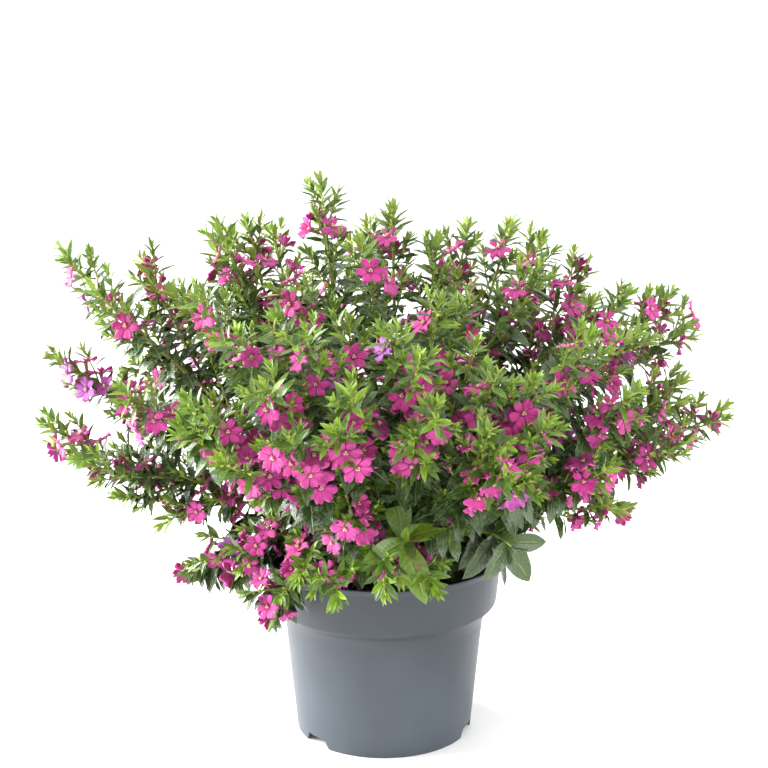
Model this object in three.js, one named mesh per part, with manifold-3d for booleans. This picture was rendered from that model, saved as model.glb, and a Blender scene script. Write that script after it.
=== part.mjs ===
// Potted false heather: a tapered plastic nursery pot, its potting mix, and a wide bush of leafy stems
// that carry small opposite leaves and six-petalled blooms.
// Millimetres, +Z up, the origin at the middle of the pot's underside, the front of the bush towards -Y.
import * as THREE from "three";
import { mergeVertices } from "three/addons/utils/BufferGeometryUtils.js";
import Module from "manifold-3d";

const wasm = await Module();
wasm.setup();

const Z_UP = new THREE.Vector3(0, 0, 1);
const DEGREE = Math.PI / 180;
const CLEARANCE = 0.3; // between pieces that touch
const SMALLEST_EDGE = 0.15;
const SMALLEST_STEP = 1e-3; // between two points
const LARGEST_CROSSING = 0.02; // volume that two blades of one stem may share

// The pot: a wall that tapers to its foot, a collar that steps out below the rim, and a small flared lip.
const POT_HEIGHT = 100;
const RIM_RADIUS = 65;
const COLLAR_TOP_RADIUS = 63.2;
const COLLAR_FOOT_RADIUS = 61;
const COLLAR_FOOT_Z = 73.5;
const WALL_TOP_RADIUS = 54.1;
const WALL_TOP_Z = 67;
const FOOT_RADIUS = 47.6;
const LIP_Z = 96;
const LIP_EDGE = 0.5;
const WALL = 1.6;
const FLOOR_Z = 2.2; // underside of the raised part of the floor
const CENTRE_FOOT_RADIUS = 20;
const POT_SIDES = 28;

const NOTCH_COUNT = 3;
const FIRST_NOTCH_DEGREES = -139; // counted from +X, so it shows at the left of the front
const NOTCH_WIDTH = 19;
const NOTCH_TOP_WIDTH = 13;
const NOTCH_HEIGHT = 5;

const DRAIN_COUNT = 6;
const DRAIN_RADIUS = 4;
const DRAIN_CIRCLE_RADIUS = 33;
const DRAIN_SIDES = 8;

// The potting mix, a little below the rim and slightly mounded round the stems.
const SOIL_EDGE_Z = 87;
const SOIL_CROWN_Z = 89.5;
const SOIL_CROWN_RADIUS = 42;

// The bush's outline: how far its shoots reach from the crown, at angles above the rim's level.
const CROWN_Z = 95;
const BUSH_REACH = [
  { angle: -25, reach: 70 },
  { angle: 0, reach: 92 },
  { angle: 12, reach: 128 },
  { angle: 22, reach: 186 },
  { angle: 35, reach: 203 },
  { angle: 50, reach: 206 },
  { angle: 70, reach: 202 },
  { angle: 90, reach: 196 },
];
const BUSH_DEPTH = 0.86; // its depth over its width
const VIEWPOINT = new THREE.Vector3(0, -884, 409);
const DEEPEST_REACH = 240;
const REACH_STEP = 2;

// Each stem is a list of its shoots, the leader first. A shoot's tip is where it shows from the front, in
// millimetres across and up on the plane through the pot's axis. towards is how far in front of that plane
// it stands, and without it the tip lies on the bush's rounded front.
const FRONT_STEMS = [
  [
    { across: -181, up: 170, towards: 0, blooms: 2 },
    { across: -165, up: 150, towards: 35, blooms: 1 },
    { across: -143, up: 129, towards: 20, blooms: 2 },
  ],
  [
    { across: -174, up: 210, towards: -25, blooms: 2 },
    { across: -140, up: 190, towards: 70, blooms: 3 },
  ],
  [
    { across: -167, up: 264, towards: 0, blooms: 1 },
    { across: -152, up: 244, towards: 35, blooms: 3 },
    { across: -126, up: 259, towards: -35, blooms: 2 },
  ],
  [
    { across: -98, up: 245, towards: 60, blooms: 1 },
    { across: -77, up: 220, blooms: 2 },
  ],
  [
    { across: -93, up: 179, blooms: 3 },
    { across: -106, up: 184, blooms: 0 },
    { across: -109, up: 170, blooms: 2 },
  ],
  [
    { across: -86, up: 277, towards: 0, blooms: 2 },
    { across: -71, up: 278, towards: -35, blooms: 2 },
  ],
  [
    { across: -56, up: 228, towards: 85, blooms: 2 },
    { across: -63, up: 191, blooms: 3 },
  ],
  [
    { across: -33, up: 299, towards: 0, blooms: 2 },
    { across: -50, up: 250, towards: 45, blooms: 3 },
  ],
  [
    { across: -41, up: 220, blooms: 2 },
    { across: -18, up: 226, towards: 80, blooms: 1 },
  ],
  [
    { across: 5, up: 285, towards: 0, blooms: 2 },
    { across: -12, up: 268, towards: 35, blooms: 2 },
  ],
  [
    { across: 7, up: 223, blooms: 2 },
    { across: 19, up: 206, blooms: 3 },
  ],
  [
    { across: 28, up: 269, towards: 10, blooms: 1 },
    { across: 29, up: 237, towards: 70, blooms: 1 },
    { across: 45, up: 237, towards: 45, blooms: 1 },
  ],
  [
    { across: 66, up: 277, towards: 0, blooms: 1 },
    { across: 81, up: 256, towards: 30, blooms: 2 },
  ],
  [
    { across: 60, up: 197, blooms: 2 },
    { across: 48, up: 214, towards: 100, blooms: 2 },
  ],
  [
    { across: 106, up: 257, towards: -20, blooms: 1 },
    { across: 128, up: 240, towards: 20, blooms: 2 },
  ],
  [
    { across: 110, up: 218, towards: 85, blooms: 2 },
    { across: 135, up: 221, towards: 50, blooms: 3 },
  ],
  [
    { across: 150, up: 241, towards: 0, blooms: 1 },
    { across: 163, up: 228, towards: -40, blooms: 1 },
  ],
  [
    { across: 158, up: 194, towards: 35, blooms: 1 },
    { across: 135, up: 187, towards: 80, blooms: 2 },
  ],
  [
    { across: 87, up: 171, blooms: 1 },
    { across: 80, up: 194, blooms: 2 },
  ],
  [
    { across: 181, up: 179, towards: 0, blooms: 2 },
    { across: 163, up: 161, towards: 35, blooms: 2 },
    { across: 120, up: 145, towards: 70, blooms: 2 },
  ],
  [
    { across: 129, up: 123, towards: 25, blooms: 2 },
    { across: 78, up: 139, blooms: 2, sag: -8 },
  ],
  [{ across: 69, up: 101, towards: 48, blooms: 0, broad: true }],
  [
    { across: 63, up: 151, blooms: 2 },
    { across: 57, up: 167, blooms: 0 },
  ],
  [
    { across: 28, up: 181, blooms: 3 },
    { across: 16, up: 163, blooms: 3 },
  ],
  [
    { across: -18, up: 188, blooms: 2 },
    { across: -26, up: 167, blooms: 1 },
  ],
  [
    { across: -51, up: 163, blooms: 1 },
    { across: -88, up: 150, blooms: 3 },
  ],
  [{ across: -22, up: 137, towards: 110, blooms: 3, sag: 10 }],
  [
    { across: -120, up: 113, towards: 10, blooms: 1 },
    { across: -104, up: 87, towards: 20, blooms: 3 },
  ],
  [
    { across: -60, up: 60, towards: 66, blooms: 3 },
    { across: -26, up: 69, towards: 88, blooms: 2, sag: -14 },
  ],
  [
    { across: 12, up: 104, towards: 80, blooms: 0, broad: true },
    { across: 27, up: 80, towards: 90, blooms: 2, sag: -6 },
  ],
  [
    { across: -80, up: 82, towards: 48, blooms: 2 },
    { across: -46, up: 86, towards: 80, blooms: 2, sag: -8 },
  ],
  [{ across: 0, up: 74, towards: 98, blooms: 2 }],
];

// The rear half, which the front view hides, goes by rule: stems at even angles in three tiers.
const REAR_STEM_COUNT = 14;
const REAR_FIRST_DEGREES = 9;
const REAR_SPAN_DEGREES = 162;
const REAR_TIERS = [26, 62, 42]; // degrees above the rim's level
const REAR_SHOOTS = [
  { turn: 0, rise: 0, share: 0.95, blooms: 2 },
  { turn: 11, rise: -9, share: 0.9, blooms: 1 },
];

// Stems, from the soil to their tips.
const STEM_FOOT_Z = 76;
const STEM_SPACING = 6.5; // between feet
const INNER_FOOT_RADIUS = 6;
const OUTER_FOOT_RADIUS = 32;
const SPREADING_PASSES = 80;
const STEM_SIDES = 3;
const LEADER = { rings: 4, root: 1.9, foot: 1.9, tip: 0.85 }; // radii
const FORK = { rings: 3, root: 0.5, foot: 1.25, tip: 0.85 };
const HANGING_Z = 95; // a tip as low as this hangs over the rim
const ARCHING_Z = 140; // and one above this only leans out
const LEADER_LIFT = 0.25; // how far its last stretch turns up
const LEADER_RISE = 0.36; // how far it stays upright, of its span
const HANGING_RISE = 0.95;
const LEADER_LEAN = 0.08;
const LEADER_LAST_STRETCH = 0.34;
const HANGING_DROP = 0.5;
const HANGING_PULL = 0.15;
const FORK_LIFT = 0.15;
const FORK_PARTING = 0.2; // how far it follows its leader, of its span
const FORK_LEAN = 0.12;
const FORK_LAST_STRETCH = 0.32;
const FORK_LOWEST = 0.3; // of the leader's length
const FORK_HIGHEST = 0.6;
const FORK_FROM = 0.62; // where it starts if it doesn't spread
const FORK_DEGREES_DOWN = 95; // spread that brings it down the whole leader

// Leaves stand in opposite pairs, each pair a quarter turn from the last. Pairs are counted from the tip,
// and these are the ones that stand here for all of them.
const LEADER_PAIRS = [1, 4, 8, 13];
const FORK_PAIRS = [1, 4, 8];
const BROAD_PAIRS = [0, 1, 2, 3, 5];
const LEAFY_SHARE = 0.7; // of a shoot's length
const FIRST_PAIR_DISTANCE = 2; // from the tip
const PAIR_SPACING = 3.2;
const PAIR_SPACING_GROWTH = 0.16;
const YOUNG_PAIRS = 1.2; // growth that the first pair already has, in pairs
const PAIRS_TO_GROW = 4.2;
const GROWN_LEAF_LENGTH = 19;
const LEAF_LENGTH_GROWTH = 0.25;
const CLOSED_LEAF_DEGREES = 24;
const OPEN_LEAF_DEGREES = 74;
const PAIRS_TO_OPEN = 4;
const PAIRS_TO_WIDEN = 11;
const LEAF_HALF_WIDTHS = [0.13, 0.17]; // of its length, young and grown
const BROAD_LEAF_HALF_WIDTH = 0.19;
const GROWN_LEAF_DROOP = 0.2; // of its length
const LEAF_SKYWARD = 0.6; // how far its upper face turns up
const LEAF_THICKNESS = 1.1;
const LEAF_WIDEST_AT = 0.42;
const BROAD_LEAF_EXTRA_LENGTH = 11;
const BROAD_LEAF_SPREAD_DEGREES = 66;

// Blooms: a slender calyx tube that opens into six petals, the upper two shorter.
const FIRST_BLOOM_DISTANCE = 19; // from the tip
const NEXT_BLOOM_DISTANCE = 10;
const BLOOM_SCATTER = 4;
const FACING_ALONG = 0.25; // how far a bloom turns along its shoot,
const FACING_OUT = 0.65; // away from the crown,
const FACING_UP = 0.12; // and up
const BLOOM_SPACING = 13.5;
const BLOOM_TRIES = 8;
const CALYX_LENGTH = 8;
const THROAT_RADIUS = 1.3;
const PETAL_COUNT = 6;
const PETAL_REACH = 7.2;
const UPPER_PETAL_REACH = 6.4;
const UPPER_PETALS_FROM = 0.7; // sine of the turn past which a petal is an upper one
const PETAL_NOTCH_RADIUS = 2.8;
const PETAL_FLARE = 2;
const COROLLA_THICKNESS = 1.2;

// Turns, in degrees, that a leaf or a bloom may take to stay clear of its neighbours.
const LEAF_TURNS = [0, 35, -35, 70, -70];
const BLOOM_TURNS = [0, 40, -40, 80, -80, 120];

const COLOURS = {
  pot: { color: 0x6e767f, roughness: 0.5, metalness: 0 },
  pottingMix: { color: 0x2e211b, roughness: 0.95, metalness: 0 },
  stem: { color: 0x5f8a2c, roughness: 0.6, metalness: 0 },
};

function randomStream(seed) {
  const modulus = 2147483647;
  let state = (seed * 7919 + 104729) % modulus;
  return () => {
    state = (state * 16807) % modulus;
    return state / modulus;
  };
}

function between(low, high, share) {
  return low + (high - low) * share;
}

function clamp01(value) {
  return Math.min(1, Math.max(0, value));
}

// Solids and geometries

function solidOf(geometry) {
  const bare = geometry.clone();
  bare.deleteAttribute("normal");
  bare.deleteAttribute("uv");
  const merged = mergeVertices(bare, SMALLEST_STEP);
  return new wasm.Manifold(
    new wasm.Mesh({
      numProp: 3,
      vertProperties: merged.attributes.position.array,
      triVerts: new Uint32Array(merged.index.array),
    }),
  );
}

function geometryOf(solid) {
  const mesh = solid.getMesh();
  const positions = new Float32Array(mesh.numVert * 3);
  for (let i = 0; i < mesh.numVert; i++) {
    const start = i * mesh.numProp;
    positions.set(mesh.vertProperties.subarray(start, start + 3), i * 3);
  }
  return new THREE.BufferGeometry()
    .setAttribute("position", new THREE.BufferAttribute(positions, 3))
    .setIndex(new THREE.BufferAttribute(mesh.triVerts, 1));
}

function facetedSolid(points, faces) {
  const geometry = new THREE.BufferGeometry().setFromPoints(points);
  geometry.setIndex(faces.flat());
  return solidOf(geometry);
}

function namedMesh(name, solid, finish) {
  const geometry = geometryOf(solid);
  geometry.computeVertexNormals();
  const mesh = new THREE.Mesh(geometry, new THREE.MeshStandardMaterial(finish));
  mesh.name = name;
  return mesh;
}

function turnedSolid(profile) {
  const points = profile.map(([radius, z]) => new THREE.Vector2(radius, z));
  return solidOf(new THREE.LatheGeometry(points, POT_SIDES).rotateX(Math.PI / 2));
}

// Pot and potting mix

function notchCut(index) {
  const outline = new THREE.Shape([
    new THREE.Vector2(-NOTCH_WIDTH / 2, -1),
    new THREE.Vector2(NOTCH_WIDTH / 2, -1),
    new THREE.Vector2(NOTCH_TOP_WIDTH / 2, NOTCH_HEIGHT),
    new THREE.Vector2(-NOTCH_TOP_WIDTH / 2, NOTCH_HEIGHT),
  ]);
  const depth = 4 * WALL;
  const around = (FIRST_NOTCH_DEGREES + (index * 360) / NOTCH_COUNT) * DEGREE;
  const cut = new THREE.ExtrudeGeometry(outline, { depth, bevelEnabled: false })
    .rotateX(Math.PI / 2)
    .translate(0, depth / 2 - FOOT_RADIUS, 0)
    .rotateZ(around + Math.PI / 2);
  return solidOf(cut);
}

function drainCut(index) {
  const around = ((index + 0.5) * 2 * Math.PI) / DRAIN_COUNT;
  const hole = new THREE.CylinderGeometry(DRAIN_RADIUS, DRAIN_RADIUS, 4 * FLOOR_Z, DRAIN_SIDES)
    .rotateX(Math.PI / 2)
    .translate(DRAIN_CIRCLE_RADIUS * Math.cos(around), DRAIN_CIRCLE_RADIUS * Math.sin(around), 0);
  return solidOf(hole);
}

function potSolid() {
  const floorTop = FLOOR_Z + WALL;
  const ringInside = FOOT_RADIUS - WALL;
  const body = turnedSolid([
    [0, 0],
    [CENTRE_FOOT_RADIUS, 0],
    [CENTRE_FOOT_RADIUS + FLOOR_Z, FLOOR_Z],
    [ringInside - FLOOR_Z / 2, FLOOR_Z],
    [ringInside, 0],
    [FOOT_RADIUS, 0],
    [WALL_TOP_RADIUS, WALL_TOP_Z],
    [COLLAR_FOOT_RADIUS, COLLAR_FOOT_Z],
    [COLLAR_TOP_RADIUS, LIP_Z],
    [RIM_RADIUS, POT_HEIGHT - LIP_EDGE],
    [RIM_RADIUS - LIP_EDGE, POT_HEIGHT],
    [RIM_RADIUS - WALL, POT_HEIGHT],
    [COLLAR_TOP_RADIUS - WALL, LIP_Z],
    [COLLAR_FOOT_RADIUS - WALL, COLLAR_FOOT_Z + WALL],
    [WALL_TOP_RADIUS - WALL, WALL_TOP_Z + WALL],
    [ringInside, floorTop],
    [0, floorTop],
  ]);
  const notches = Array.from({ length: NOTCH_COUNT }, (_, i) => notchCut(i));
  const drains = Array.from({ length: DRAIN_COUNT }, (_, i) => drainCut(i));
  return body.subtract(wasm.Manifold.union([...notches, ...drains]));
}

function pottingMixSolid(stemHoles) {
  const inset = WALL + CLEARANCE;
  const edgeShare = (SOIL_EDGE_Z - COLLAR_FOOT_Z) / (LIP_Z - COLLAR_FOOT_Z);
  return turnedSolid([
    [0, FLOOR_Z + inset],
    [FOOT_RADIUS - inset, FLOOR_Z + inset],
    [WALL_TOP_RADIUS - inset, WALL_TOP_Z + inset],
    [COLLAR_FOOT_RADIUS - inset - CLEARANCE, COLLAR_FOOT_Z + inset],
    [between(COLLAR_FOOT_RADIUS, COLLAR_TOP_RADIUS, edgeShare) - inset, SOIL_EDGE_Z],
    [SOIL_CROWN_RADIUS, SOIL_CROWN_Z],
    [0, SOIL_CROWN_Z],
  ]).subtract(wasm.Manifold.union(stemHoles));
}

// The bush's plan: where each shoot ends and how it gets there

function bushReach(angle) {
  const next = BUSH_REACH.findIndex((entry) => angle <= entry.angle);
  if (next === 0) return BUSH_REACH[0].reach;
  if (next < 0) return BUSH_REACH.at(-1).reach;
  const [low, high] = [BUSH_REACH[next - 1], BUSH_REACH[next]];
  return between(low.reach, high.reach, (angle - low.angle) / (high.angle - low.angle));
}

function isInsideBush(point) {
  const flat = Math.hypot(point.x, point.y / BUSH_DEPTH);
  const rise = point.z - CROWN_Z;
  return Math.hypot(flat, rise) < bushReach(Math.atan2(rise, flat) / DEGREE);
}

function frontTip({ across, up, towards }) {
  const onPlane = new THREE.Vector3(across, 0, up);
  const sight = VIEWPOINT.clone().sub(onPlane).normalize();
  let reach = towards ?? 0;
  for (let step = 0; towards === undefined && step <= DEEPEST_REACH; step += REACH_STEP) {
    if (isInsideBush(onPlane.clone().addScaledVector(sight, step))) reach = step;
  }
  return onPlane.addScaledVector(sight, reach);
}

function rearTip(stemIndex, { turn, rise, share }) {
  const evenTurn = REAR_FIRST_DEGREES + (REAR_SPAN_DEGREES * stemIndex) / (REAR_STEM_COUNT - 1);
  const around = (evenTurn + turn) * DEGREE;
  const angle = REAR_TIERS[stemIndex % REAR_TIERS.length] + rise;
  const reach = bushReach(angle) * share;
  const flat = reach * Math.cos(angle * DEGREE);
  return new THREE.Vector3(
    flat * Math.cos(around),
    flat * Math.sin(around) * BUSH_DEPTH,
    CROWN_Z + reach * Math.sin(angle * DEGREE),
  );
}

function allStems() {
  const front = FRONT_STEMS.map((shoots) => shoots.map((shoot) => ({ ...shoot, tip: frontTip(shoot) })));
  const rear = Array.from({ length: REAR_STEM_COUNT }, (_, stemIndex) =>
    REAR_SHOOTS.map((shoot) => ({ ...shoot, tip: rearTip(stemIndex, shoot) })),
  );
  return [...front, ...rear];
}

function fromCrown(point) {
  return point.clone().setZ(point.z - CROWN_Z).normalize();
}

// Feet start under their own tips, the steep stems near the middle, and are then pushed apart.
function stemFeet(stems) {
  const feet = stems.map(([{ tip }]) => {
    const around = Math.atan2(tip.y, tip.x);
    const radius = between(OUTER_FOOT_RADIUS, INNER_FOOT_RADIUS, clamp01(fromCrown(tip).z));
    return new THREE.Vector2(radius * Math.cos(around), radius * Math.sin(around));
  });
  for (let pass = 0; pass < SPREADING_PASSES; pass++) {
    for (let i = 0; i < feet.length; i++) {
      for (let j = i + 1; j < feet.length; j++) {
        const apart = feet[j].clone().sub(feet[i]);
        const missing = STEM_SPACING - apart.length();
        if (missing <= 0) continue;
        apart.setLength(missing / 2);
        feet[i].sub(apart);
        feet[j].add(apart);
      }
    }
  }
  return feet;
}

// A shoot's own line, with a frame along it that doesn't twist.
class ShootLine {
  constructor(start, startHandle, endHandle, tip) {
    this.curve = new THREE.CubicBezierCurve3(start, startHandle, endHandle, tip);
    this.length = this.curve.getLength();
    this.level = new THREE.Vector3().crossVectors(Z_UP, tip.clone().sub(start)).normalize();
  }

  frameAt(share) {
    const point = this.curve.getPointAt(clamp01(share));
    const along = this.curve.getTangentAt(clamp01(share));
    const side = this.level.clone().addScaledVector(along, -this.level.dot(along)).normalize();
    const normal = new THREE.Vector3().crossVectors(side, along);
    return { point, along, side, normal };
  }

  fromTip(distance) {
    return this.frameAt(1 - distance / this.length);
  }
}

function leaderLine(foot, { tip, sag = 0 }) {
  const start = new THREE.Vector3(foot.x, foot.y, STEM_FOOT_Z);
  const span = tip.distanceTo(start);
  const outward = tip.clone().sub(start).setZ(0).normalize();
  const hanging = clamp01((ARCHING_Z - tip.z) / (ARCHING_Z - HANGING_Z));
  const growth = fromCrown(tip).addScaledVector(Z_UP, LEADER_LIFT).normalize();
  const startHandle = start
    .clone()
    .addScaledVector(Z_UP, span * between(LEADER_RISE, HANGING_RISE, hanging) - sag)
    .addScaledVector(outward, span * LEADER_LEAN);
  const leaning = tip.clone().addScaledVector(growth, -LEADER_LAST_STRETCH * span);
  const drooping = tip
    .clone()
    .addScaledVector(Z_UP, HANGING_DROP * span)
    .addScaledVector(outward, -HANGING_PULL * span);
  const endHandle = leaning.lerp(drooping, hanging).addScaledVector(Z_UP, -sag);
  return new ShootLine(start, startHandle, endHandle, tip);
}

function forkLine(leader, { tip, sag = 0 }) {
  const base = leader.curve.v0;
  const spreadDegrees = leader.curve.v3.clone().sub(base).angleTo(tip.clone().sub(base)) / DEGREE;
  const forkShare = FORK_FROM - spreadDegrees / FORK_DEGREES_DOWN;
  const fork = leader.frameAt(Math.min(FORK_HIGHEST, Math.max(FORK_LOWEST, forkShare)));
  const span = tip.distanceTo(fork.point);
  const ahead = tip.clone().sub(fork.point).normalize();
  const growth = fromCrown(tip).lerp(ahead, 0.5).addScaledVector(Z_UP, FORK_LIFT).normalize();
  const startHandle = fork.point
    .clone()
    .addScaledVector(fork.along, span * FORK_PARTING)
    .addScaledVector(ahead, span * FORK_LEAN)
    .addScaledVector(Z_UP, -sag);
  const endHandle = tip
    .clone()
    .addScaledVector(growth, -FORK_LAST_STRETCH * span)
    .addScaledVector(Z_UP, -sag);
  return new ShootLine(fork.point, startHandle, endHandle, tip);
}

// What a shoot carries

function pairDistance(pair) {
  return FIRST_PAIR_DISTANCE + PAIR_SPACING * pair + PAIR_SPACING_GROWTH * pair * pair;
}

function leafLength(pair, broad) {
  const growth = 1 - Math.exp(-(pair + YOUNG_PAIRS) / PAIRS_TO_GROW);
  const length = GROWN_LEAF_LENGTH * growth + LEAF_LENGTH_GROWTH * pair;
  return broad ? BROAD_LEAF_EXTRA_LENGTH + length : length;
}

function leafSpread(pair, broad) {
  const opened = between(CLOSED_LEAF_DEGREES, OPEN_LEAF_DEGREES, 1 - Math.exp(-pair / PAIRS_TO_OPEN));
  return (broad ? BROAD_LEAF_SPREAD_DEGREES : opened) * DEGREE;
}

function leavesOn(line, { broad = false }, phase, pairs) {
  const carried = pairs.filter((pair) => pairDistance(pair) < line.length * LEAFY_SHARE);
  return carried.flatMap((pair) => {
    const { point, along, side, normal } = line.fromTip(pairDistance(pair));
    const spread = leafSpread(pair, broad);
    return [0, Math.PI].map((face) => {
      const turn = phase + pair * (Math.PI / 2) + face;
      const outwards = side.clone().multiplyScalar(Math.cos(turn)).addScaledVector(normal, Math.sin(turn));
      const ahead = outwards.multiplyScalar(Math.sin(spread)).addScaledVector(along, Math.cos(spread));
      return { root: point, ahead, sunny: along, pair, broad, length: leafLength(pair, broad) };
    });
  });
}

// Blooms stand in the axils, a little below the tip, and keep their distance from every earlier one.
function bloomsOn(line, { blooms }, random, earlierCentres) {
  return Array.from({ length: blooms }, (_, i) => {
    const distance = FIRST_BLOOM_DISTANCE + i * NEXT_BLOOM_DISTANCE + BLOOM_SCATTER * random();
    const { point, along, side, normal } = line.fromTip(distance);
    const firstTurn = 2 * Math.PI * random();
    let best = { room: -1 };
    for (let attempt = 0; attempt < BLOOM_TRIES && best.room < BLOOM_SPACING; attempt++) {
      const turn = firstTurn + (attempt * 2 * Math.PI) / BLOOM_TRIES;
      const facing = side
        .clone()
        .multiplyScalar(Math.cos(turn))
        .addScaledVector(normal, Math.sin(turn))
        .addScaledVector(along, FACING_ALONG)
        .addScaledVector(fromCrown(point), FACING_OUT)
        .addScaledVector(Z_UP, FACING_UP)
        .normalize();
      const centre = point.clone().addScaledVector(facing, CALYX_LENGTH);
      const room = Math.min(BLOOM_SPACING, ...earlierCentres.map((other) => other.distanceTo(centre)));
      if (room > best.room) best = { room, root: point, axis: along, facing, centre };
    }
    earlierCentres.push(best.centre);
    return best;
  });
}

// Solids of the bush

// A three-sided stem along the line. widen is added to its radius, for the hole that it stands in.
function stemSolid(line, { rings, root, foot, tip }, widen = 0) {
  const geometry = new THREE.CylinderGeometry(1, 1, 1, STEM_SIDES, rings);
  const position = geometry.attributes.position;
  for (let i = 0; i < position.count; i++) {
    const share = position.getY(i) + 0.5;
    const { point, along, side, normal } = line.frameAt(share);
    const radius = widen + (share === 0 ? root : between(foot, tip, share));
    point
      .addScaledVector(side, position.getX(i) * radius)
      .addScaledVector(normal, position.getZ(i) * radius)
      .addScaledVector(along, share === 0 ? -widen / 2 : 0);
    position.setXYZ(i, point.x, point.y, point.z);
  }
  return solidOf(geometry);
}

function leafSolid({ root, ahead, sunny, length, pair, broad }, turnDegrees) {
  const upper = sunny.clone().addScaledVector(Z_UP, LEAF_SKYWARD);
  upper.addScaledVector(ahead, -upper.dot(ahead)).normalize().applyAxisAngle(ahead, turnDegrees * DEGREE);
  const across = new THREE.Vector3().crossVectors(upper, ahead);
  const grown = clamp01(pair / PAIRS_TO_WIDEN);
  const halfWidth = length * (broad ? BROAD_LEAF_HALF_WIDTH : between(...LEAF_HALF_WIDTHS, grown));
  const droop = length * GROWN_LEAF_DROOP * grown;
  const widest = root
    .clone()
    .addScaledVector(ahead, length * LEAF_WIDEST_AT)
    .addScaledVector(upper, LEAF_THICKNESS);
  const left = widest.clone().addScaledVector(across, halfWidth);
  const right = widest.clone().addScaledVector(across, -halfWidth);
  const tip = root.clone().addScaledVector(ahead, length).addScaledVector(upper, -droop);
  return facetedSolid(
    [root, left, right, tip],
    [
      [0, 2, 1],
      [0, 1, 3],
      [0, 3, 2],
      [1, 2, 3],
    ],
  );
}

function bloomSolid({ root, axis, facing }, turnDegrees) {
  const ahead = facing.clone().applyAxisAngle(axis, turnDegrees * DEGREE);
  const side = new THREE.Vector3().crossVectors(ahead, Z_UP).normalize();
  const upper = new THREE.Vector3().crossVectors(side, ahead);
  const rimCount = 2 * PETAL_COUNT;
  const at = (radius, turn, forward) =>
    root
      .clone()
      .addScaledVector(ahead, CALYX_LENGTH + forward)
      .addScaledVector(side, radius * Math.cos(turn))
      .addScaledVector(upper, radius * Math.sin(turn));
  const throat = [0, 1, 2].map((i) => at(THROAT_RADIUS, ((4 * i + 0.5) * 2 * Math.PI) / rimCount, 0));
  const rim = Array.from({ length: rimCount }, (_, i) => {
    const turn = (i * 2 * Math.PI) / rimCount;
    const reach = Math.sin(turn) > UPPER_PETALS_FROM ? UPPER_PETAL_REACH : PETAL_REACH;
    return i % 2 === 1 ? at(reach, turn, PETAL_FLARE) : at(PETAL_NOTCH_RADIUS, turn, COROLLA_THICKNESS);
  });
  const rimAt = (i) => 4 + (i % rimCount);
  const faces = [];
  for (let petal = 0; petal < PETAL_COUNT; petal++) {
    const notch = 2 * petal;
    faces.push([rimAt(notch + 2), rimAt(notch + 1), rimAt(notch)]);
    if (petal > 0 && petal < PETAL_COUNT - 1) faces.push([rimAt(0), rimAt(notch + 2), rimAt(notch)]);
  }
  for (let i = 0; i < 3; i++) {
    const [here, next] = [1 + i, 1 + ((i + 1) % 3)];
    faces.push([0, here, next], [next, here, rimAt(4 * i + 4)]);
    for (let j = 4 * i; j < 4 * i + 4; j++) faces.push([here, rimAt(j), rimAt(j + 1)]);
  }
  return facetedSolid([root, ...throat, ...rim], faces);
}

// What stands already, so that a new blade can stay clear of the other stems and of its own stem's blades.
class Standing {
  constructor() {
    this.items = [];
  }

  add(owner, solid, isBlade = false) {
    this.items.push({ owner, solid, isBlade, box: solid.boundingBox() });
  }

  isClear(owner, blade) {
    const box = blade.boundingBox();
    const isNear = (other) =>
      [0, 1, 2].every((k) => box.min[k] - 1 < other.box.max[k] && other.box.min[k] - 1 < box.max[k]);
    return this.items.filter(isNear).every((item) => {
      if (item.owner !== owner) return item.solid.minGap(blade, 1) > CLEARANCE;
      return !item.isBlade || item.solid.intersect(blade).volume() < LARGEST_CROSSING;
    });
  }

  // The blade at the first of the turns that leaves it clear, or nothing.
  addClear(owner, blade, makeSolid, turns) {
    const solid = turns.map((turn) => makeSolid(blade, turn)).find((made) => this.isClear(owner, made));
    if (!solid) return [];
    this.add(owner, solid, true);
    return [solid];
  }
}

function growStems() {
  const stems = allStems();
  const feet = stemFeet(stems);
  return stems.map((shoots, i) => {
    const leader = leaderLine(feet[i], shoots[0]);
    const forks = shoots.slice(1).map((shoot) => forkLine(leader, shoot));
    const random = randomStream(i + 1);
    return {
      shoots,
      lines: [leader, ...forks],
      solids: [
        stemSolid(leader, LEADER),
        ...forks.map((fork) => stemSolid(fork, FORK)),
      ],
      phases: shoots.map(() => 2 * Math.PI * random()),
      random,
    };
  });
}

function addBlooms(stems, standing) {
  const centres = [];
  stems.forEach(({ shoots, lines, solids, random }, owner) => {
    for (const [i, shoot] of shoots.entries()) {
      for (const bloom of bloomsOn(lines[i], shoot, random, centres)) {
        solids.push(...standing.addClear(owner, bloom, bloomSolid, BLOOM_TURNS));
      }
    }
  });
}

function addLeaves(stems, standing) {
  stems.forEach(({ shoots, lines, solids, phases }, owner) => {
    for (const [i, shoot] of shoots.entries()) {
      const pairs = shoot.broad ? BROAD_PAIRS : i === 0 ? LEADER_PAIRS : FORK_PAIRS;
      for (const leaf of leavesOn(lines[i], shoot, phases[i], pairs)) {
        solids.push(...standing.addClear(owner, leaf, leafSolid, LEAF_TURNS));
      }
    }
  });
}

function largestBody(solid) {
  const bodies = solidOf(geometryOf(solid.simplify(SMALLEST_EDGE))).decompose();
  return bodies.reduce((a, b) => (a.volume() > b.volume() ? a : b));
}

// Whether two faces have closed up on each other, so that four faces meet at one edge.
function hasFoldedEdge(solid) {
  const geometry = geometryOf(solid);
  const { array } = mergeVertices(geometry, SMALLEST_STEP).index;
  const faces = new Map();
  for (let i = 0; i < array.length; i += 3) {
    for (let k = 0; k < 3; k++) {
      const ends = [array[i + k], array[i + ((k + 1) % 3)]];
      const edge = ends.sort((a, b) => a - b).join();
      faces.set(edge, (faces.get(edge) ?? 0) + 1);
    }
  }
  return [...faces.values()].some((count) => count !== 2);
}

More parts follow.
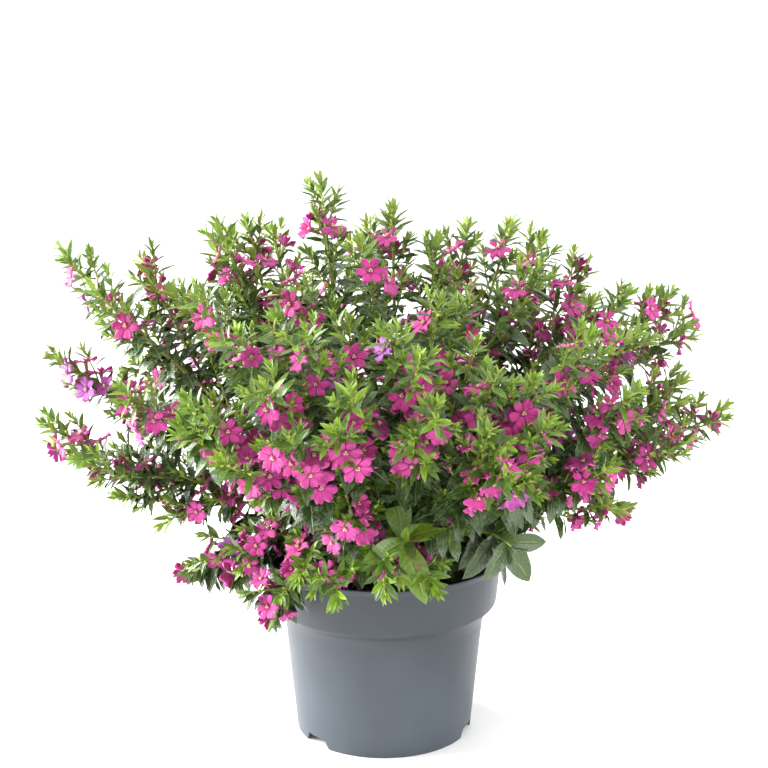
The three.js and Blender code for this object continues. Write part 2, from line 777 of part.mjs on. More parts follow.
// One body of all the pieces. Where fusing them folds an edge, the last piece that clears it is left out.
function fusedBody(pieces) {
  for (let omitted = pieces.length; omitted > 0; omitted--) {
    const body = largestBody(wasm.Manifold.union(pieces.filter((_, i) => i !== omitted)));
    if (!hasFoldedEdge(body)) return body;
  }
  throw new Error("a stem can't be fused into one clean body");
}

const part = new THREE.Group();
const stems = growStems();
const pot = potSolid();
const pottingMix = pottingMixSolid(stems.map(({ lines }) => stemSolid(lines[0], LEADER, 2 * CLEARANCE)));
const standing = new Standing();
standing.add("pot", pot);
standing.add("potting_mix", pottingMix);
stems.forEach(({ solids }, owner) => solids.forEach((solid) => standing.add(owner, solid)));
addBlooms(stems, standing);
addLeaves(stems, standing);

part.add(namedMesh("pot", pot, COLOURS.pot));
part.add(namedMesh("potting_mix", pottingMix, COLOURS.pottingMix));
stems.forEach(({ solids }, i) => {
  part.add(namedMesh(`leafy_stem_${String(i + 1).padStart(2, "0")}`, fusedBody(solids), COLOURS.stem));
});

export default part;
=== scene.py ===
"""Dresses the potted false heather: its plastic pot, its potting mix and its leafy, blooming stems.

The bush follows the same plan as the CAD model. The plan is in millimetres, and so is each bmesh until it
is finished, when it is scaled to metres. The front of the bush faces -Y.
"""

from __future__ import annotations

import logging
import math
from bisect import bisect_left
from collections.abc import Callable, Iterable
from dataclasses import dataclass, field
from enum import Enum

import bmesh
import bpy
from mathutils import Matrix, Quaternion, Vector, kdtree, noise


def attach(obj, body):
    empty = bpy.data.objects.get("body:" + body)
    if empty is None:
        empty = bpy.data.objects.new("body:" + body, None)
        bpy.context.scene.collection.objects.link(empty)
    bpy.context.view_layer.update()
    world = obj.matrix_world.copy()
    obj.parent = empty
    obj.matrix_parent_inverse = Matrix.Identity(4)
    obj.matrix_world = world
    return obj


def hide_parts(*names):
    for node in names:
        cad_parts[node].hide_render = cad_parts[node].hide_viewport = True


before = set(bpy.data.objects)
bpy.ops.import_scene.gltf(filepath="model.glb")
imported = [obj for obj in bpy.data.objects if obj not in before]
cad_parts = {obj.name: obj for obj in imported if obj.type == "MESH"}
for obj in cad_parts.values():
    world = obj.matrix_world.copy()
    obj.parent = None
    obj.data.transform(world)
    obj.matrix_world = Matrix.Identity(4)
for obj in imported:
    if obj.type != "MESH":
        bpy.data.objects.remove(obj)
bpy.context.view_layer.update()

LOG = logging.getLogger("false_heather")
METRES = 0.001
Z_UP = Vector((0, 0, 1))
BODY = "root"
TINT = "tint"
UV_MAP = "UVMap"
BLACK = (0, 0, 0, 1)
WHITE = (1, 1, 1, 1)
FULL_TURN = 2 * math.pi
CROSSWISE = Vector((1, 1, 0))


def between(low: float, high: float, share: float) -> float:
    """Mixes two numbers.

    Args:
        low: the number at share 0.
        high: the number at share 1.
        share: how far from low to high.

    Returns:
        The number at that share.
    """
    return low + (high - low) * share


def clamp01(value: float) -> float:
    """Holds a number in the range 0 to 1.

    Args:
        value: any number.

    Returns:
        The nearest number in the range.
    """
    return min(1.0, max(0.0, value))


def mesh_of(body: bmesh.types.BMesh, name: str) -> bpy.types.Mesh:
    """Turns a bmesh into a mesh, and frees it.

    Args:
        body: the bmesh.
        name: the mesh's name.

    Returns:
        The mesh.
    """
    mesh = bpy.data.meshes.new(name)
    body.to_mesh(mesh)
    body.free()
    return mesh


def add_object(name: str, data: bpy.types.ID) -> bpy.types.Object:
    """Adds an object to the scene.

    Args:
        name: its name.
        data: its mesh, light or camera.

    Returns:
        The object.
    """
    thing = bpy.data.objects.new(name, data)
    bpy.context.scene.collection.objects.link(thing)
    return thing


def aim(thing: bpy.types.Object, place: Iterable[float], target: Iterable[float]) -> None:
    """Stands a light or a camera in a place and turns it to a target."""
    thing.location = place
    thing.rotation_euler = (Vector(target) - Vector(place)).to_track_quat("-Z", "Y").to_euler()


def spin_round(body: bmesh.types.BMesh, steps: int) -> None:
    """Spins a half outline round the Z axis into a closed body.

    Args:
        body: the outline, which becomes the body.
        steps: how many steps the full turn has.
    """
    bmesh.ops.spin(
        body, geom=body.verts[:] + body.edges[:], cent=(0, 0, 0), axis=(0, 0, 1), angle=FULL_TURN,
        steps=steps, use_merge=True, use_duplicate=False,
    )
    bmesh.ops.remove_doubles(body, verts=body.verts[:], dist=1e-3)
    bmesh.ops.recalc_face_normals(body, faces=body.faces[:])


def ringed_tube(sides: int, rings: int, cap_ends: bool, middle: float = 0.0) -> bmesh.types.BMesh:
    """Starts a bmesh with a tube of radius 1 and length 1 on the Z axis.

    Args:
        sides: how many sides it has.
        rings: how many rings of faces it has along its length.
        cap_ends: whether its ends are closed.
        middle: the height of its middle.

    Returns:
        The bmesh.
    """
    body = bmesh.new()
    bmesh.ops.create_cone(
        body, cap_ends=cap_ends, segments=sides, radius1=1, radius2=1, depth=1,
        matrix=Matrix.Translation((0, 0, middle)),
    )
    lengthwise = [edge for edge in body.edges if abs(edge.verts[0].co.z - edge.verts[1].co.z) > 0.5]
    bmesh.ops.subdivide_edges(body, edges=lengthwise, cuts=rings - 1, use_grid_fill=True)
    return body


def faces_of(vertices: Iterable[bmesh.types.BMVert]) -> set[bmesh.types.BMFace]:
    """Returns the faces that touch any of the vertices."""
    return {face for vertex in vertices for face in vertex.link_faces}


class RandomStream:
    """Seeded random numbers that come out the same on every run."""

    MODULUS = 2147483647

    def __init__(self, seed: int) -> None:
        """Starts the stream.

        Args:
            seed: which stream it is.
        """
        self.state = (seed * 7919 + 104729) % self.MODULUS

    def draw(self) -> float:
        """Returns the next number, from 0 to 1."""
        self.state = self.state * 16807 % self.MODULUS
        return self.state / self.MODULUS

    def draw_between(self, low: float, high: float) -> float:
        """Returns the next number, from low to high."""
        return between(low, high, self.draw())

    def draw_around(self, reach: float) -> float:
        """Returns the next number, up to that reach on either side of 0."""
        return self.draw_between(-reach, reach)


# The plan of the bush


@dataclass(frozen=True)
class Shoot:
    """One shoot: where it ends and what it carries.

    A shoot of the front is given where it shows: across and up on the plane through the pot's axis, and
    towards, its distance in front of that plane. Without towards, it ends on the bush's rounded front.
    """

    across: float
    up: float
    towards: float | None
    blooms: int
    broad: bool = False
    sag: float = 0.0
    mature: bool = False


FRONT_STEMS: tuple[tuple[Shoot, ...], ...] = (
    (Shoot(-181, 170, 0, 2), Shoot(-165, 150, 35, 1), Shoot(-143, 129, 20, 2)),
    (Shoot(-174, 210, -25, 2), Shoot(-140, 190, 70, 3)),
    (Shoot(-167, 264, 0, 1), Shoot(-152, 244, 35, 3), Shoot(-126, 259, -35, 2)),
    (Shoot(-98, 245, 60, 1), Shoot(-77, 220, None, 2)),
    (Shoot(-93, 179, None, 3), Shoot(-106, 184, None, 0), Shoot(-109, 170, None, 2)),
    (Shoot(-86, 277, 0, 2), Shoot(-71, 278, -35, 2)),
    (Shoot(-56, 228, 85, 2), Shoot(-63, 191, None, 3)),
    (Shoot(-33, 299, 0, 2), Shoot(-50, 250, 45, 3)),
    (Shoot(-41, 220, None, 2), Shoot(-18, 226, 80, 1)),
    (Shoot(5, 285, 0, 2), Shoot(-12, 268, 35, 2)),
    (Shoot(7, 223, None, 2), Shoot(19, 206, None, 3)),
    (Shoot(28, 269, 10, 1), Shoot(29, 237, 70, 1), Shoot(45, 237, 45, 1)),
    (Shoot(66, 277, 0, 1), Shoot(81, 256, 30, 2)),
    (Shoot(60, 197, None, 2), Shoot(48, 214, 100, 2)),
    (Shoot(106, 257, -20, 1), Shoot(128, 240, 20, 2)),
    (Shoot(110, 218, 85, 2), Shoot(135, 221, 50, 3)),
    (Shoot(150, 241, 0, 1), Shoot(163, 228, -40, 1)),
    (Shoot(158, 194, 35, 1), Shoot(135, 187, 80, 2)),
    (Shoot(87, 171, None, 1), Shoot(80, 194, None, 2)),
    (Shoot(181, 179, 0, 2), Shoot(163, 161, 35, 2), Shoot(120, 145, 70, 2)),
    (Shoot(129, 123, 25, 2), Shoot(78, 139, None, 2, sag=-8)),
    (Shoot(69, 101, 48, 0, broad=True, mature=True),),
    (Shoot(63, 151, None, 2), Shoot(57, 167, None, 0)),
    (Shoot(28, 181, None, 3), Shoot(16, 163, None, 3)),
    (Shoot(-18, 188, None, 2), Shoot(-26, 167, None, 1)),
    (Shoot(-51, 163, None, 1), Shoot(-88, 150, None, 3)),
    (Shoot(-22, 137, 110, 3, sag=10),),
    (Shoot(-120, 113, 10, 1), Shoot(-104, 87, 20, 3)),
    (Shoot(-60, 60, 66, 3), Shoot(-26, 69, 88, 2, sag=-14)),
    (Shoot(12, 104, 80, 0, broad=True), Shoot(27, 80, 90, 2, sag=-6)),
    (Shoot(-80, 82, 48, 2), Shoot(-46, 86, 80, 2, sag=-8)),
    (Shoot(0, 74, 98, 2),),
)


@dataclass(frozen=True)
class RearShoot:
    """One shoot of a rear stem, against the stem's own direction."""

    turn: float
    rise: float
    share: float
    blooms: int


REAR_SHOOTS = (RearShoot(0, 0, 0.95, 2), RearShoot(11, -9, 0.9, 1))


@dataclass(frozen=True)
class Station:
    """A place on a shoot, with three directions at right angles."""

    point: Vector
    along: Vector
    side: Vector
    normal: Vector

    def outwards(self, turn: float) -> Vector:
        """Returns the direction away from the shoot at that turn round it."""
        return self.side * math.cos(turn) + self.normal * math.sin(turn)


class ShootLine:
    """A shoot's own line, with stations along it that don't twist."""

    def __init__(
        self, start: Vector, start_handle: Vector, end_handle: Vector, tip: Vector, divisions: int = 200
    ) -> None:
        """Lays out the line.

        Args:
            start: where it begins.
            start_handle: the curve's first handle.
            end_handle: the curve's second handle.
            tip: where it ends.
            divisions: how finely its length is measured.
        """
        self.points = (start, start_handle, end_handle, tip)
        self.divisions = divisions
        self.distances = [0.0]
        last = start
        for i in range(1, divisions + 1):
            here = self._point(i / divisions)
            self.distances.append(self.distances[-1] + (here - last).length)
            last = here
        self.length = self.distances[-1]
        self.level = Z_UP.cross(tip - start).normalized()

    def _point(self, t: float) -> Vector:
        """Finds a point of the curve.

        Args:
            t: the curve's parameter, from 0 to 1.

        Returns:
            The point there.
        """
        a, b, c, d = self.points
        rest = 1 - t
        return a * rest**3 + b * (3 * rest * rest * t) + c * (3 * rest * t * t) + d * t**3

    def _along(self, t: float) -> Vector:
        """Finds the curve's direction.

        Args:
            t: the curve's parameter, from 0 to 1.

        Returns:
            The direction there, one unit long.
        """
        a, b, c, d = self.points
        rest = 1 - t
        slope = (b - a) * (rest * rest) + (c - b) * (2 * rest * t) + (d - c) * (t * t)
        return slope.normalized()

    def station_at(self, share: float) -> Station:
        """Finds a place on the line.

        Args:
            share: how far along its length, from 0 to 1.

        Returns:
            The station there.
        """
        wanted = clamp01(share) * self.length
        step = min(max(bisect_left(self.distances, wanted), 1), self.divisions)
        low, high = self.distances[step - 1], self.distances[step]
        t = (step - 1 + clamp01((wanted - low) / (high - low))) / self.divisions
        along = self._along(t)
        side = (self.level - along * self.level.dot(along)).normalized()
        return Station(self._point(t), along, side, side.cross(along))

    def from_tip(self, distance: float) -> Station:
        """Returns the station at that distance from the tip."""
        return self.station_at(1 - distance / self.length)


@dataclass(frozen=True)
class Bloom:
    """Where a bloom stands: its root on the shoot, the way it faces and the length of its calyx."""

    root: Vector
    facing: Vector
    calyx: float

    @property
    def centre(self) -> Vector:
        """The middle of its corolla."""
        return self.root + self.facing * self.calyx


@dataclass(frozen=True)
class Twig:
    """A short side twig and the turn of its first pair of leaves."""

    line: ShootLine
    phase: float


@dataclass
class Stem:
    """One stem of the bush: its shoots, their lines, and what they carry."""

    name: str
    shoots: list[Shoot]
    lines: list[ShootLine]
    phases: list[float]
    blooms: list[Bloom] = field(default_factory=list)
    twigs: list[Twig] = field(default_factory=list)

    @property
    def node(self) -> str:
        """The CAD node that this stem stands for."""
        return f"leafy_{self.name}"


@dataclass(frozen=True)
class BushPlan:
    """The rule by which the bush grows, the same as in the CAD model. Lengths are millimetres."""

    crown_z: float = 95
    reaches: tuple[tuple[float, float], ...] = (
        (-25, 70), (0, 92), (12, 128), (22, 186), (35, 203), (50, 206), (70, 202), (90, 196),
    )
    depth: float = 0.86
    viewpoint: tuple[float, float, float] = (0, -884, 409)
    deepest_reach: int = 240
    reach_step: int = 2
    rear_count: int = 14
    rear_first: float = 9
    rear_span: float = 162
    rear_tiers: tuple[float, ...] = (26, 62, 42)
    foot_z: float = 76
    foot_spacing: float = 6.5
    inner_foot_radius: float = 6
    outer_foot_radius: float = 32
    spreading_passes: int = 80
    hanging_z: float = 95
    arching_z: float = 140
    first_bloom: float = 19
    next_bloom: float = 10
    bloom_scatter: float = 4
    bloom_spacing: float = 13.5
    bloom_tries: int = 8
    bloom_lean: tuple[float, float, float] = (0.25, 0.65, 0.12)
    calyx_length: float = 8
    leader_uprightness: float = 0.25
    leader_rises: tuple[float, float] = (0.36, 0.95)
    leader_lean: float = 0.08
    leader_end: float = 0.34
    hanging_end: tuple[float, float] = (0.5, 0.15)
    fork_range: tuple[float, float] = (0.3, 0.6)
    straight_fork: float = 0.62
    fork_degrees: float = 95
    fork_ahead: float = 0.5
    fork_uprightness: float = 0.15
    fork_start: tuple[float, float] = (0.2, 0.12)
    fork_end: float = 0.32

    def reach(self, angle: float) -> float:
        """Says how far the bush reaches.

        Args:
            angle: degrees above the rim's level.

        Returns:
            The distance from the crown.
        """
        if angle <= self.reaches[0][0]:
            return self.reaches[0][1]
        for (low, near), (high, far) in zip(self.reaches, self.reaches[1:]):
            if angle <= high:
                return between(near, far, (angle - low) / (high - low))
        return self.reaches[-1][1]

    def is_inside(self, point: Vector) -> bool:
        """Says whether a point is inside the bush's outline.

        Args:
            point: the point.

        Returns:
            True where it is inside.
        """
        flat = math.hypot(point.x, point.y / self.depth)
        rise = point.z - self.crown_z
        return math.hypot(flat, rise) < self.reach(math.degrees(math.atan2(rise, flat)))

    def from_crown(self, point: Vector) -> Vector:
        """Returns the direction from the crown to the point."""
        return (point - Vector((0, 0, self.crown_z))).normalized()

    def front_tip(self, shoot: Shoot) -> Vector:
        """Finds where a front shoot ends.

        Args:
            shoot: the shoot, as it shows.

        Returns:
            Its tip.
        """
        on_plane = Vector((shoot.across, 0, shoot.up))
        sight = (Vector(self.viewpoint) - on_plane).normalized()
        if shoot.towards is not None:
            return on_plane + sight * shoot.towards
        steps = range(0, self.deepest_reach + 1, self.reach_step)
        return on_plane + sight * max(step for step in steps if self.is_inside(on_plane + sight * step))

    def rear_tip(self, index: int, shoot: RearShoot) -> Vector:
        """Finds where a rear shoot ends.

        Args:
            index: which rear stem, from 0.
            shoot: the shoot against its stem.

        Returns:
            Its tip.
        """
        even_turn = self.rear_first + self.rear_span * index / (self.rear_count - 1)
        around = math.radians(even_turn + shoot.turn)
        angle = self.rear_tiers[index % len(self.rear_tiers)] + shoot.rise
        reach = self.reach(angle) * shoot.share
        flat = reach * math.cos(math.radians(angle))
        rise = reach * math.sin(math.radians(angle))
        return Vector((flat * math.cos(around), flat * math.sin(around) * self.depth, self.crown_z + rise))

    def feet(self, tips: list[Vector]) -> list[Vector]:
        """Places the stems' feet under their tips and pushes them apart.

        Args:
            tips: the leaders' tips.

        Returns:
            One foot for each stem.
        """
        feet = []
        for tip in tips:
            around = math.atan2(tip.y, tip.x)
            steepness = clamp01(self.from_crown(tip).z)
            radius = between(self.outer_foot_radius, self.inner_foot_radius, steepness)
            feet.append(Vector((radius * math.cos(around), radius * math.sin(around), self.foot_z)))
        for _ in range(self.spreading_passes):
            for i, here in enumerate(feet):
                for there in feet[i + 1 :]:
                    apart = there - here
                    missing = self.foot_spacing - apart.length
                    if missing > 0:
                        push = apart.normalized() * (missing / 2)
                        here -= push
                        there += push
        return feet

    def leader(self, foot: Vector, tip: Vector, sag: float) -> ShootLine:
        """Lays out a stem's leader.

        Args:
            foot: where it stands in the potting mix.
            tip: where it ends.
            sag: how far its middle hangs.

        Returns:
            The leader's line.
        """
        span = (tip - foot).length
        outward = ((tip - foot) * CROSSWISE).normalized()
        hanging = clamp01((self.arching_z - tip.z) / (self.arching_z - self.hanging_z))
        growth = (self.from_crown(tip) + Z_UP * self.leader_uprightness).normalized()
        rise = span * between(*self.leader_rises, hanging) - sag
        start_handle = foot + Z_UP * rise + outward * (span * self.leader_lean)
        leaning = tip - growth * (self.leader_end * span)
        drooping = tip + Z_UP * (self.hanging_end[0] * span) - outward * (self.hanging_end[1] * span)
        end_handle = leaning.lerp(drooping, hanging) - Z_UP * sag
        return ShootLine(foot, start_handle, end_handle, tip)

    def fork(self, leader: ShootLine, tip: Vector, sag: float) -> ShootLine:
        """Lays out a side shoot that forks from a leader.

        Args:
            leader: the leader's line.
            tip: where the fork ends.
            sag: how far its middle hangs.

        Returns:
            The fork's line.
        """
        foot = leader.points[0]
        spread = math.degrees((leader.points[3] - foot).angle(tip - foot))
        nearest, farthest = self.fork_range
        share = min(farthest, max(nearest, self.straight_fork - spread / self.fork_degrees))
        start = leader.station_at(share)
        span = (tip - start.point).length
        ahead = (tip - start.point).normalized()
        heading = self.from_crown(tip).lerp(ahead, self.fork_ahead)
        growth = (heading + Z_UP * self.fork_uprightness).normalized()
        follow, turn = self.fork_start
        start_handle = start.point + start.along * (span * follow) + ahead * (span * turn) - Z_UP * sag
        end_handle = tip - growth * (self.fork_end * span) - Z_UP * sag
        return ShootLine(start.point, start_handle, end_handle, tip)

    def place_blooms(
        self, line: ShootLine, count: int, stream: RandomStream, centres: list[Vector]
    ) -> list[Bloom]:
        """Stands blooms in the axils below a shoot's tip, clear of every earlier one.

        Args:
            line: the shoot's line.
            count: how many blooms it carries.
            stream: the stem's random numbers.
            centres: the middles of all the earlier blooms, to which these are added.

        Returns:
            The blooms.
        """
        blooms = []
        along, out, up = self.bloom_lean
        for order in range(count):
            scatter = self.bloom_scatter * stream.draw()
            station = line.from_tip(self.first_bloom + order * self.next_bloom + scatter)
            first_turn = FULL_TURN * stream.draw()
            best_room, best = -1.0, station.along
            for attempt in range(self.bloom_tries):
                outwards = station.outwards(first_turn + attempt * FULL_TURN / self.bloom_tries)
                leaning = station.along * along + self.from_crown(station.point) * out + Z_UP * up
                facing = (outwards + leaning).normalized()
                centre = station.point + facing * self.calyx_length
                room = min([self.bloom_spacing, *((other - centre).length for other in centres)])
                if room > best_room:
                    best_room, best = room, facing
                if room >= self.bloom_spacing:
                    break
            centres.append(station.point + best * self.calyx_length)
            blooms.append(Bloom(station.point, best, self.calyx_length))
        return blooms

    def grow(self) -> list[Stem]:
        """Returns all the stems, the front ones first."""
        shoots = [list(stem) for stem in FRONT_STEMS]
        tips = [[self.front_tip(shoot) for shoot in stem] for stem in FRONT_STEMS]
        for index in range(self.rear_count):
            shoots.append([Shoot(0, 0, 0, rear.blooms) for rear in REAR_SHOOTS])
            tips.append([self.rear_tip(index, rear) for rear in REAR_SHOOTS])
        stems, streams = [], []
        for index, foot in enumerate(self.feet([ends[0] for ends in tips])):
            leader = self.leader(foot, tips[index][0], shoots[index][0].sag)
            forks = [
                self.fork(leader, tip, shoot.sag) for tip, shoot in zip(tips[index][1:], shoots[index][1:])
            ]
            stream = RandomStream(index + 1)
            phases = [FULL_TURN * stream.draw() for _ in shoots[index]]
            stems.append(Stem(f"stem_{index + 1:02d}", shoots[index], [leader, *forks], phases))
            streams.append(stream)
        centres: list[Vector] = []
        for stem, stream in zip(stems, streams):
            for line, shoot in zip(stem.lines, stem.shoots):
                stem.blooms += self.place_blooms(line, shoot.blooms, stream, centres)
        return stems


# Finishes


def srgb(red: int, green: int, blue: int) -> tuple[float, float, float, float]:
    """Turns a screen colour into the linear colour that shaders take.

    Args:
        red: 0 to 255.
        green: 0 to 255.
        blue: 0 to 255.

    Returns:
        The linear colour with full alpha.
    """
    linear = [((c / 255 + 0.055) / 1.055) ** 2.4 if c > 10 else c / 255 / 12.92 for c in (red, green, blue)]
    return (linear[0], linear[1], linear[2], 1.0)


class ShaderSheet:
    """A material's node tree, with short ways to add and join its nodes."""

    def __init__(self, name: str) -> None:
        """Starts a material.

        Args:
            name: the material's name.
        """
        self.material = bpy.data.materials.new(name)
        self.material.use_nodes = True
        self.nodes = self.material.node_tree.nodes
        self.surface = self.nodes["Principled BSDF"]

    def add(self, kind: str, **settings: object) -> bpy.types.Node:
        """Adds a node.

        Args:
            kind: the node's type, without its ShaderNode prefix.
            settings: values for the node's own properties or, with a capital letter first, its inputs.

        Returns:
            The node.
        """
        node = self.nodes.new(f"ShaderNode{kind}")
        for name, value in settings.items():
            if name[0].isupper():
                node.inputs[name.replace("_", " ")].default_value = value
            else:
                setattr(node, name, value)
        return node

    def join(self, source: bpy.types.NodeSocket, target: bpy.types.NodeSocket) -> None:
        """Joins an output to an input."""
        self.material.node_tree.links.new(source, target)

    def math(self, operation: str, first: object, second: object = 0.0) -> bpy.types.NodeSocket:
        """Adds a Math node.

        Args:
            operation: what it works out.
            first: an output or a number.
            second: an output or a number.

        Returns:
            Its output.
        """
        node = self.add("Math", operation=operation)
        for index, value in enumerate((first, second)):
            if isinstance(value, (int, float)):
                node.inputs[index].default_value = value
            else:
                self.join(value, node.inputs[index])
        return node.outputs[0]

    def ramp(self, source: bpy.types.NodeSocket, stops: list[tuple[float, tuple]]) -> bpy.types.NodeSocket:
        """Adds a colour ramp.

        Args:
            source: the output that drives it.
            stops: places and their colours.

        Returns:
            Its colour output.
        """
        node = self.add("ValToRGB")
        elements = node.color_ramp.elements
        while len(elements) < len(stops):
            elements.new(0.5)
        for element, (place, colour) in zip(elements, stops):
            element.position = place
            element.color = colour
        self.join(source, node.inputs[0])
        return node.outputs[0]

    def scaled(self, source: bpy.types.NodeSocket, factor: object) -> bpy.types.NodeSocket:
        """Returns an output times a number or another output."""
        return self.math("MULTIPLY", source, factor)

    def fade_in(self, source: bpy.types.NodeSocket, low: float, high: float) -> bpy.types.NodeSocket:
        """Returns a mask that is black up to the low value and white from the high one."""
        return self.ramp(source, [(low, BLACK), (high, WHITE)])

    def fade_out(self, source: bpy.types.NodeSocket, low: float, high: float) -> bpy.types.NodeSocket:
        """Returns a mask that is white up to the low value and black from the high one."""
        return self.ramp(source, [(low, WHITE), (high, BLACK)])

    def object_coordinates(self) -> bpy.types.NodeSocket:
        """Returns the output that holds the piece's Object coordinates."""
        return self.add("TexCoord").outputs["Object"]

    def mix(self, share: object, first: object, second: object, how: str = "MIX") -> bpy.types.NodeSocket:
        """Mixes two colours.

        Args:
            share: an output or a number.
            first: an output or a colour.
            second: an output or a colour.
            how: the way of mixing.

        Returns:
            The mixed colour's output.
        """
        node = self.add("Mix", data_type="RGBA", blend_type=how)
        sockets = (node.inputs[0], node.inputs[6], node.inputs[7])
        for socket, value in zip(sockets, (share, first, second)):
            if isinstance(value, (int, float, tuple)):
                socket.default_value = value
            else:
                self.join(value, socket)
        return node.outputs[2]

    def noise(self, scale: float, detail: float = 3.0, where: object = None) -> bpy.types.NodeSocket:
        """Adds a noise pattern on Object coordinates, or on the given ones.

        Args:
            scale: how fine it is.
            detail: how many finer layers it has.
            where: an output that holds coordinates.

        Returns:
            Its value output.
        """
        node = self.add("TexNoise", Scale=scale, Detail=detail)
        if where is None:
            where = self.object_coordinates()
        self.join(where, node.inputs["Vector"])
        return node.outputs[0]

    def tint(self) -> tuple[bpy.types.NodeSocket, bpy.types.NodeSocket]:
        """Returns the outputs of the mesh's tint: its age, and a number of its own for each copy."""
        attribute = self.add("Attribute", attribute_name=TINT)
        parts = self.add("SeparateColor")
        self.join(attribute.outputs["Color"], parts.inputs[0])
        return parts.outputs[0], parts.outputs[1]

    def across_and_along(self) -> tuple[bpy.types.NodeSocket, bpy.types.NodeSocket]:
        """Returns the UV map's outputs: the distance from a blade's middle line and the place along it."""
        uv = self.add("UVMap", uv_map=UV_MAP)
        parts = self.add("SeparateXYZ")
        self.join(uv.outputs[0], parts.inputs[0])
        off_middle = self.math("ABSOLUTE", self.math("SUBTRACT", parts.outputs[0], 0.5))
        return self.scaled(off_middle, 2.0), parts.outputs[1]

    def bump(self, height: bpy.types.NodeSocket, strength: float, distance: float) -> None:
        """Gives the surface relief.

        Args:
            height: the output that gives the height.
            strength: how strongly it shows.
            distance: how high it is, in metres.
        """
        node = self.add("Bump", Strength=strength, Distance=distance)
        self.join(height, node.inputs["Height"])
        self.join(node.outputs[0], self.surface.inputs["Normal"])

    def shine(self, level: float) -> None:
        """Sets how strongly the surface mirrors light."""
        self.surface.inputs["Specular IOR Level"].default_value = level

    def colour(self, source: bpy.types.NodeSocket) -> None:
        """Joins an output to the surface's colour."""
        self.join(source, self.surface.inputs["Base Color"])

    def rough(self, source: bpy.types.NodeSocket, low: float, high: float) -> None:
        """Spreads a pattern over a range of roughness.

        Args:
            source: the pattern's output.
            low: the roughness where it is 0.
            high: the roughness where it is 1.
        """
        spread = self.add("MapRange", To_Min=low, To_Max=high)
        self.join(source, spread.inputs[0])
        self.join(spread.outputs[0], self.surface.inputs["Roughness"])


@dataclass(frozen=True)
class PotPlastic:
    """Moulded grey-blue plastic with a fine grain, faint streaks down the wall and painted shade towards
    the collar.

    The levels of the colour at shares of the pot's height are painted shade: darker up the wall and deepest
    just under the collar, for the bush's shadow and the shade under the collar's ledge.
    """

    base: tuple = srgb(65, 72, 80)
    dusty: tuple = srgb(75, 83, 92)
    streaked: tuple = srgb(60, 67, 77)
    streak_scale: tuple[float, float, float] = (160, 160, 9)
    streak_share: float = 0.18
    cloud_scale: float = 28.0
    dusty_range: tuple[float, float] = (0.35, 0.72)
    heights_per_metre: float = 10.0
    # Painted shade: colour levels by share of the pot's height, for the bush's shadow on the wall and the
    # shade under the collar.
    painted_shade_levels: tuple[tuple[float, float], ...] = (
        (0.0, 0.94), (0.35, 0.8), (0.55, 0.7), (0.665, 0.56), (0.72, 0.48), (0.75, 0.56), (1.0, 0.5),
    )
    wear_shares: tuple[float, float] = (0.6, 0.4)
    roughness: tuple[float, float] = (0.34, 0.52)
    grain_scale: float = 2600.0
    streak_relief: float = 0.8
    relief: tuple[float, float] = (0.25, 0.00008)
    shine: float = 0.45

    def material(self) -> bpy.types.Material:
        """Returns the finished material."""
        sheet = ShaderSheet("pot_plastic")
        stretch = sheet.add("Mapping", Scale=self.streak_scale)
        sheet.join(sheet.object_coordinates(), stretch.inputs[0])
        streaks = sheet.noise(1.0, 4.0, stretch.outputs[0])
        clouds = sheet.noise(self.cloud_scale, 4.0)
        patches = sheet.fade_in(clouds, *self.dusty_range)
        colour = sheet.mix(patches, self.base, self.dusty)
        colour = sheet.mix(sheet.scaled(streaks, self.streak_share), colour, self.streaked)
        # Painted shade: the colour is darkened by height, more up the wall and most just under the collar,
        # for the bush's shadow and the shade under the collar's ledge.
        up = sheet.add("SeparateXYZ")
        sheet.join(sheet.object_coordinates(), up.inputs[0])
        height = sheet.scaled(up.outputs[2], self.heights_per_metre)
        painted_shade = sheet.ramp(height, [(place, (level, level, level, 1)) for place, level in self.painted_shade_levels])
        sheet.colour(sheet.mix(1.0, colour, painted_shade, "MULTIPLY"))
        cloud_share, streak_share = self.wear_shares
        wear = sheet.math("ADD", sheet.scaled(clouds, cloud_share), sheet.scaled(streaks, streak_share))
        sheet.rough(wear, *self.roughness)
        grain = sheet.noise(self.grain_scale, 2.0)
        sheet.bump(sheet.math("ADD", grain, sheet.scaled(streaks, self.streak_relief)), *self.relief)
        sheet.shine(self.shine)
        return sheet.material


@dataclass(frozen=True)
class PottingMix:
    """Damp peat with fibres and a few pale grains."""

    wet: tuple = srgb(24, 17, 13)
    damp: tuple = srgb(58, 41, 31)
    dry: tuple = srgb(96, 74, 56)
    grain: tuple = srgb(150, 128, 100)
    clod_scale: float = 420.0
    grain_scale: float = 900.0
    grain_range: tuple[float, float] = (0.08, 0.14)
    grain_share: float = 0.5
    roughness: tuple[float, float] = (0.8, 1.0)
    relief: tuple[float, float] = (0.9, 0.0012)

    def material(self) -> bpy.types.Material:
        """Returns the finished material."""
        sheet = ShaderSheet("potting_mix")
        clods = sheet.noise(self.clod_scale, 6.0)
        peat = sheet.ramp(clods, [(0.3, self.wet), (0.55, self.damp), (0.8, self.dry)])
        grains = sheet.add("TexVoronoi", Scale=self.grain_scale)
        sheet.join(sheet.object_coordinates(), grains.inputs["Vector"])
        pale = sheet.fade_out(grains.outputs["Distance"], *self.grain_range)
        sheet.colour(sheet.mix(sheet.scaled(pale, self.grain_share), peat, self.grain))
        sheet.rough(clods, *self.roughness)
        sheet.bump(clods, *self.relief)
        return sheet.material


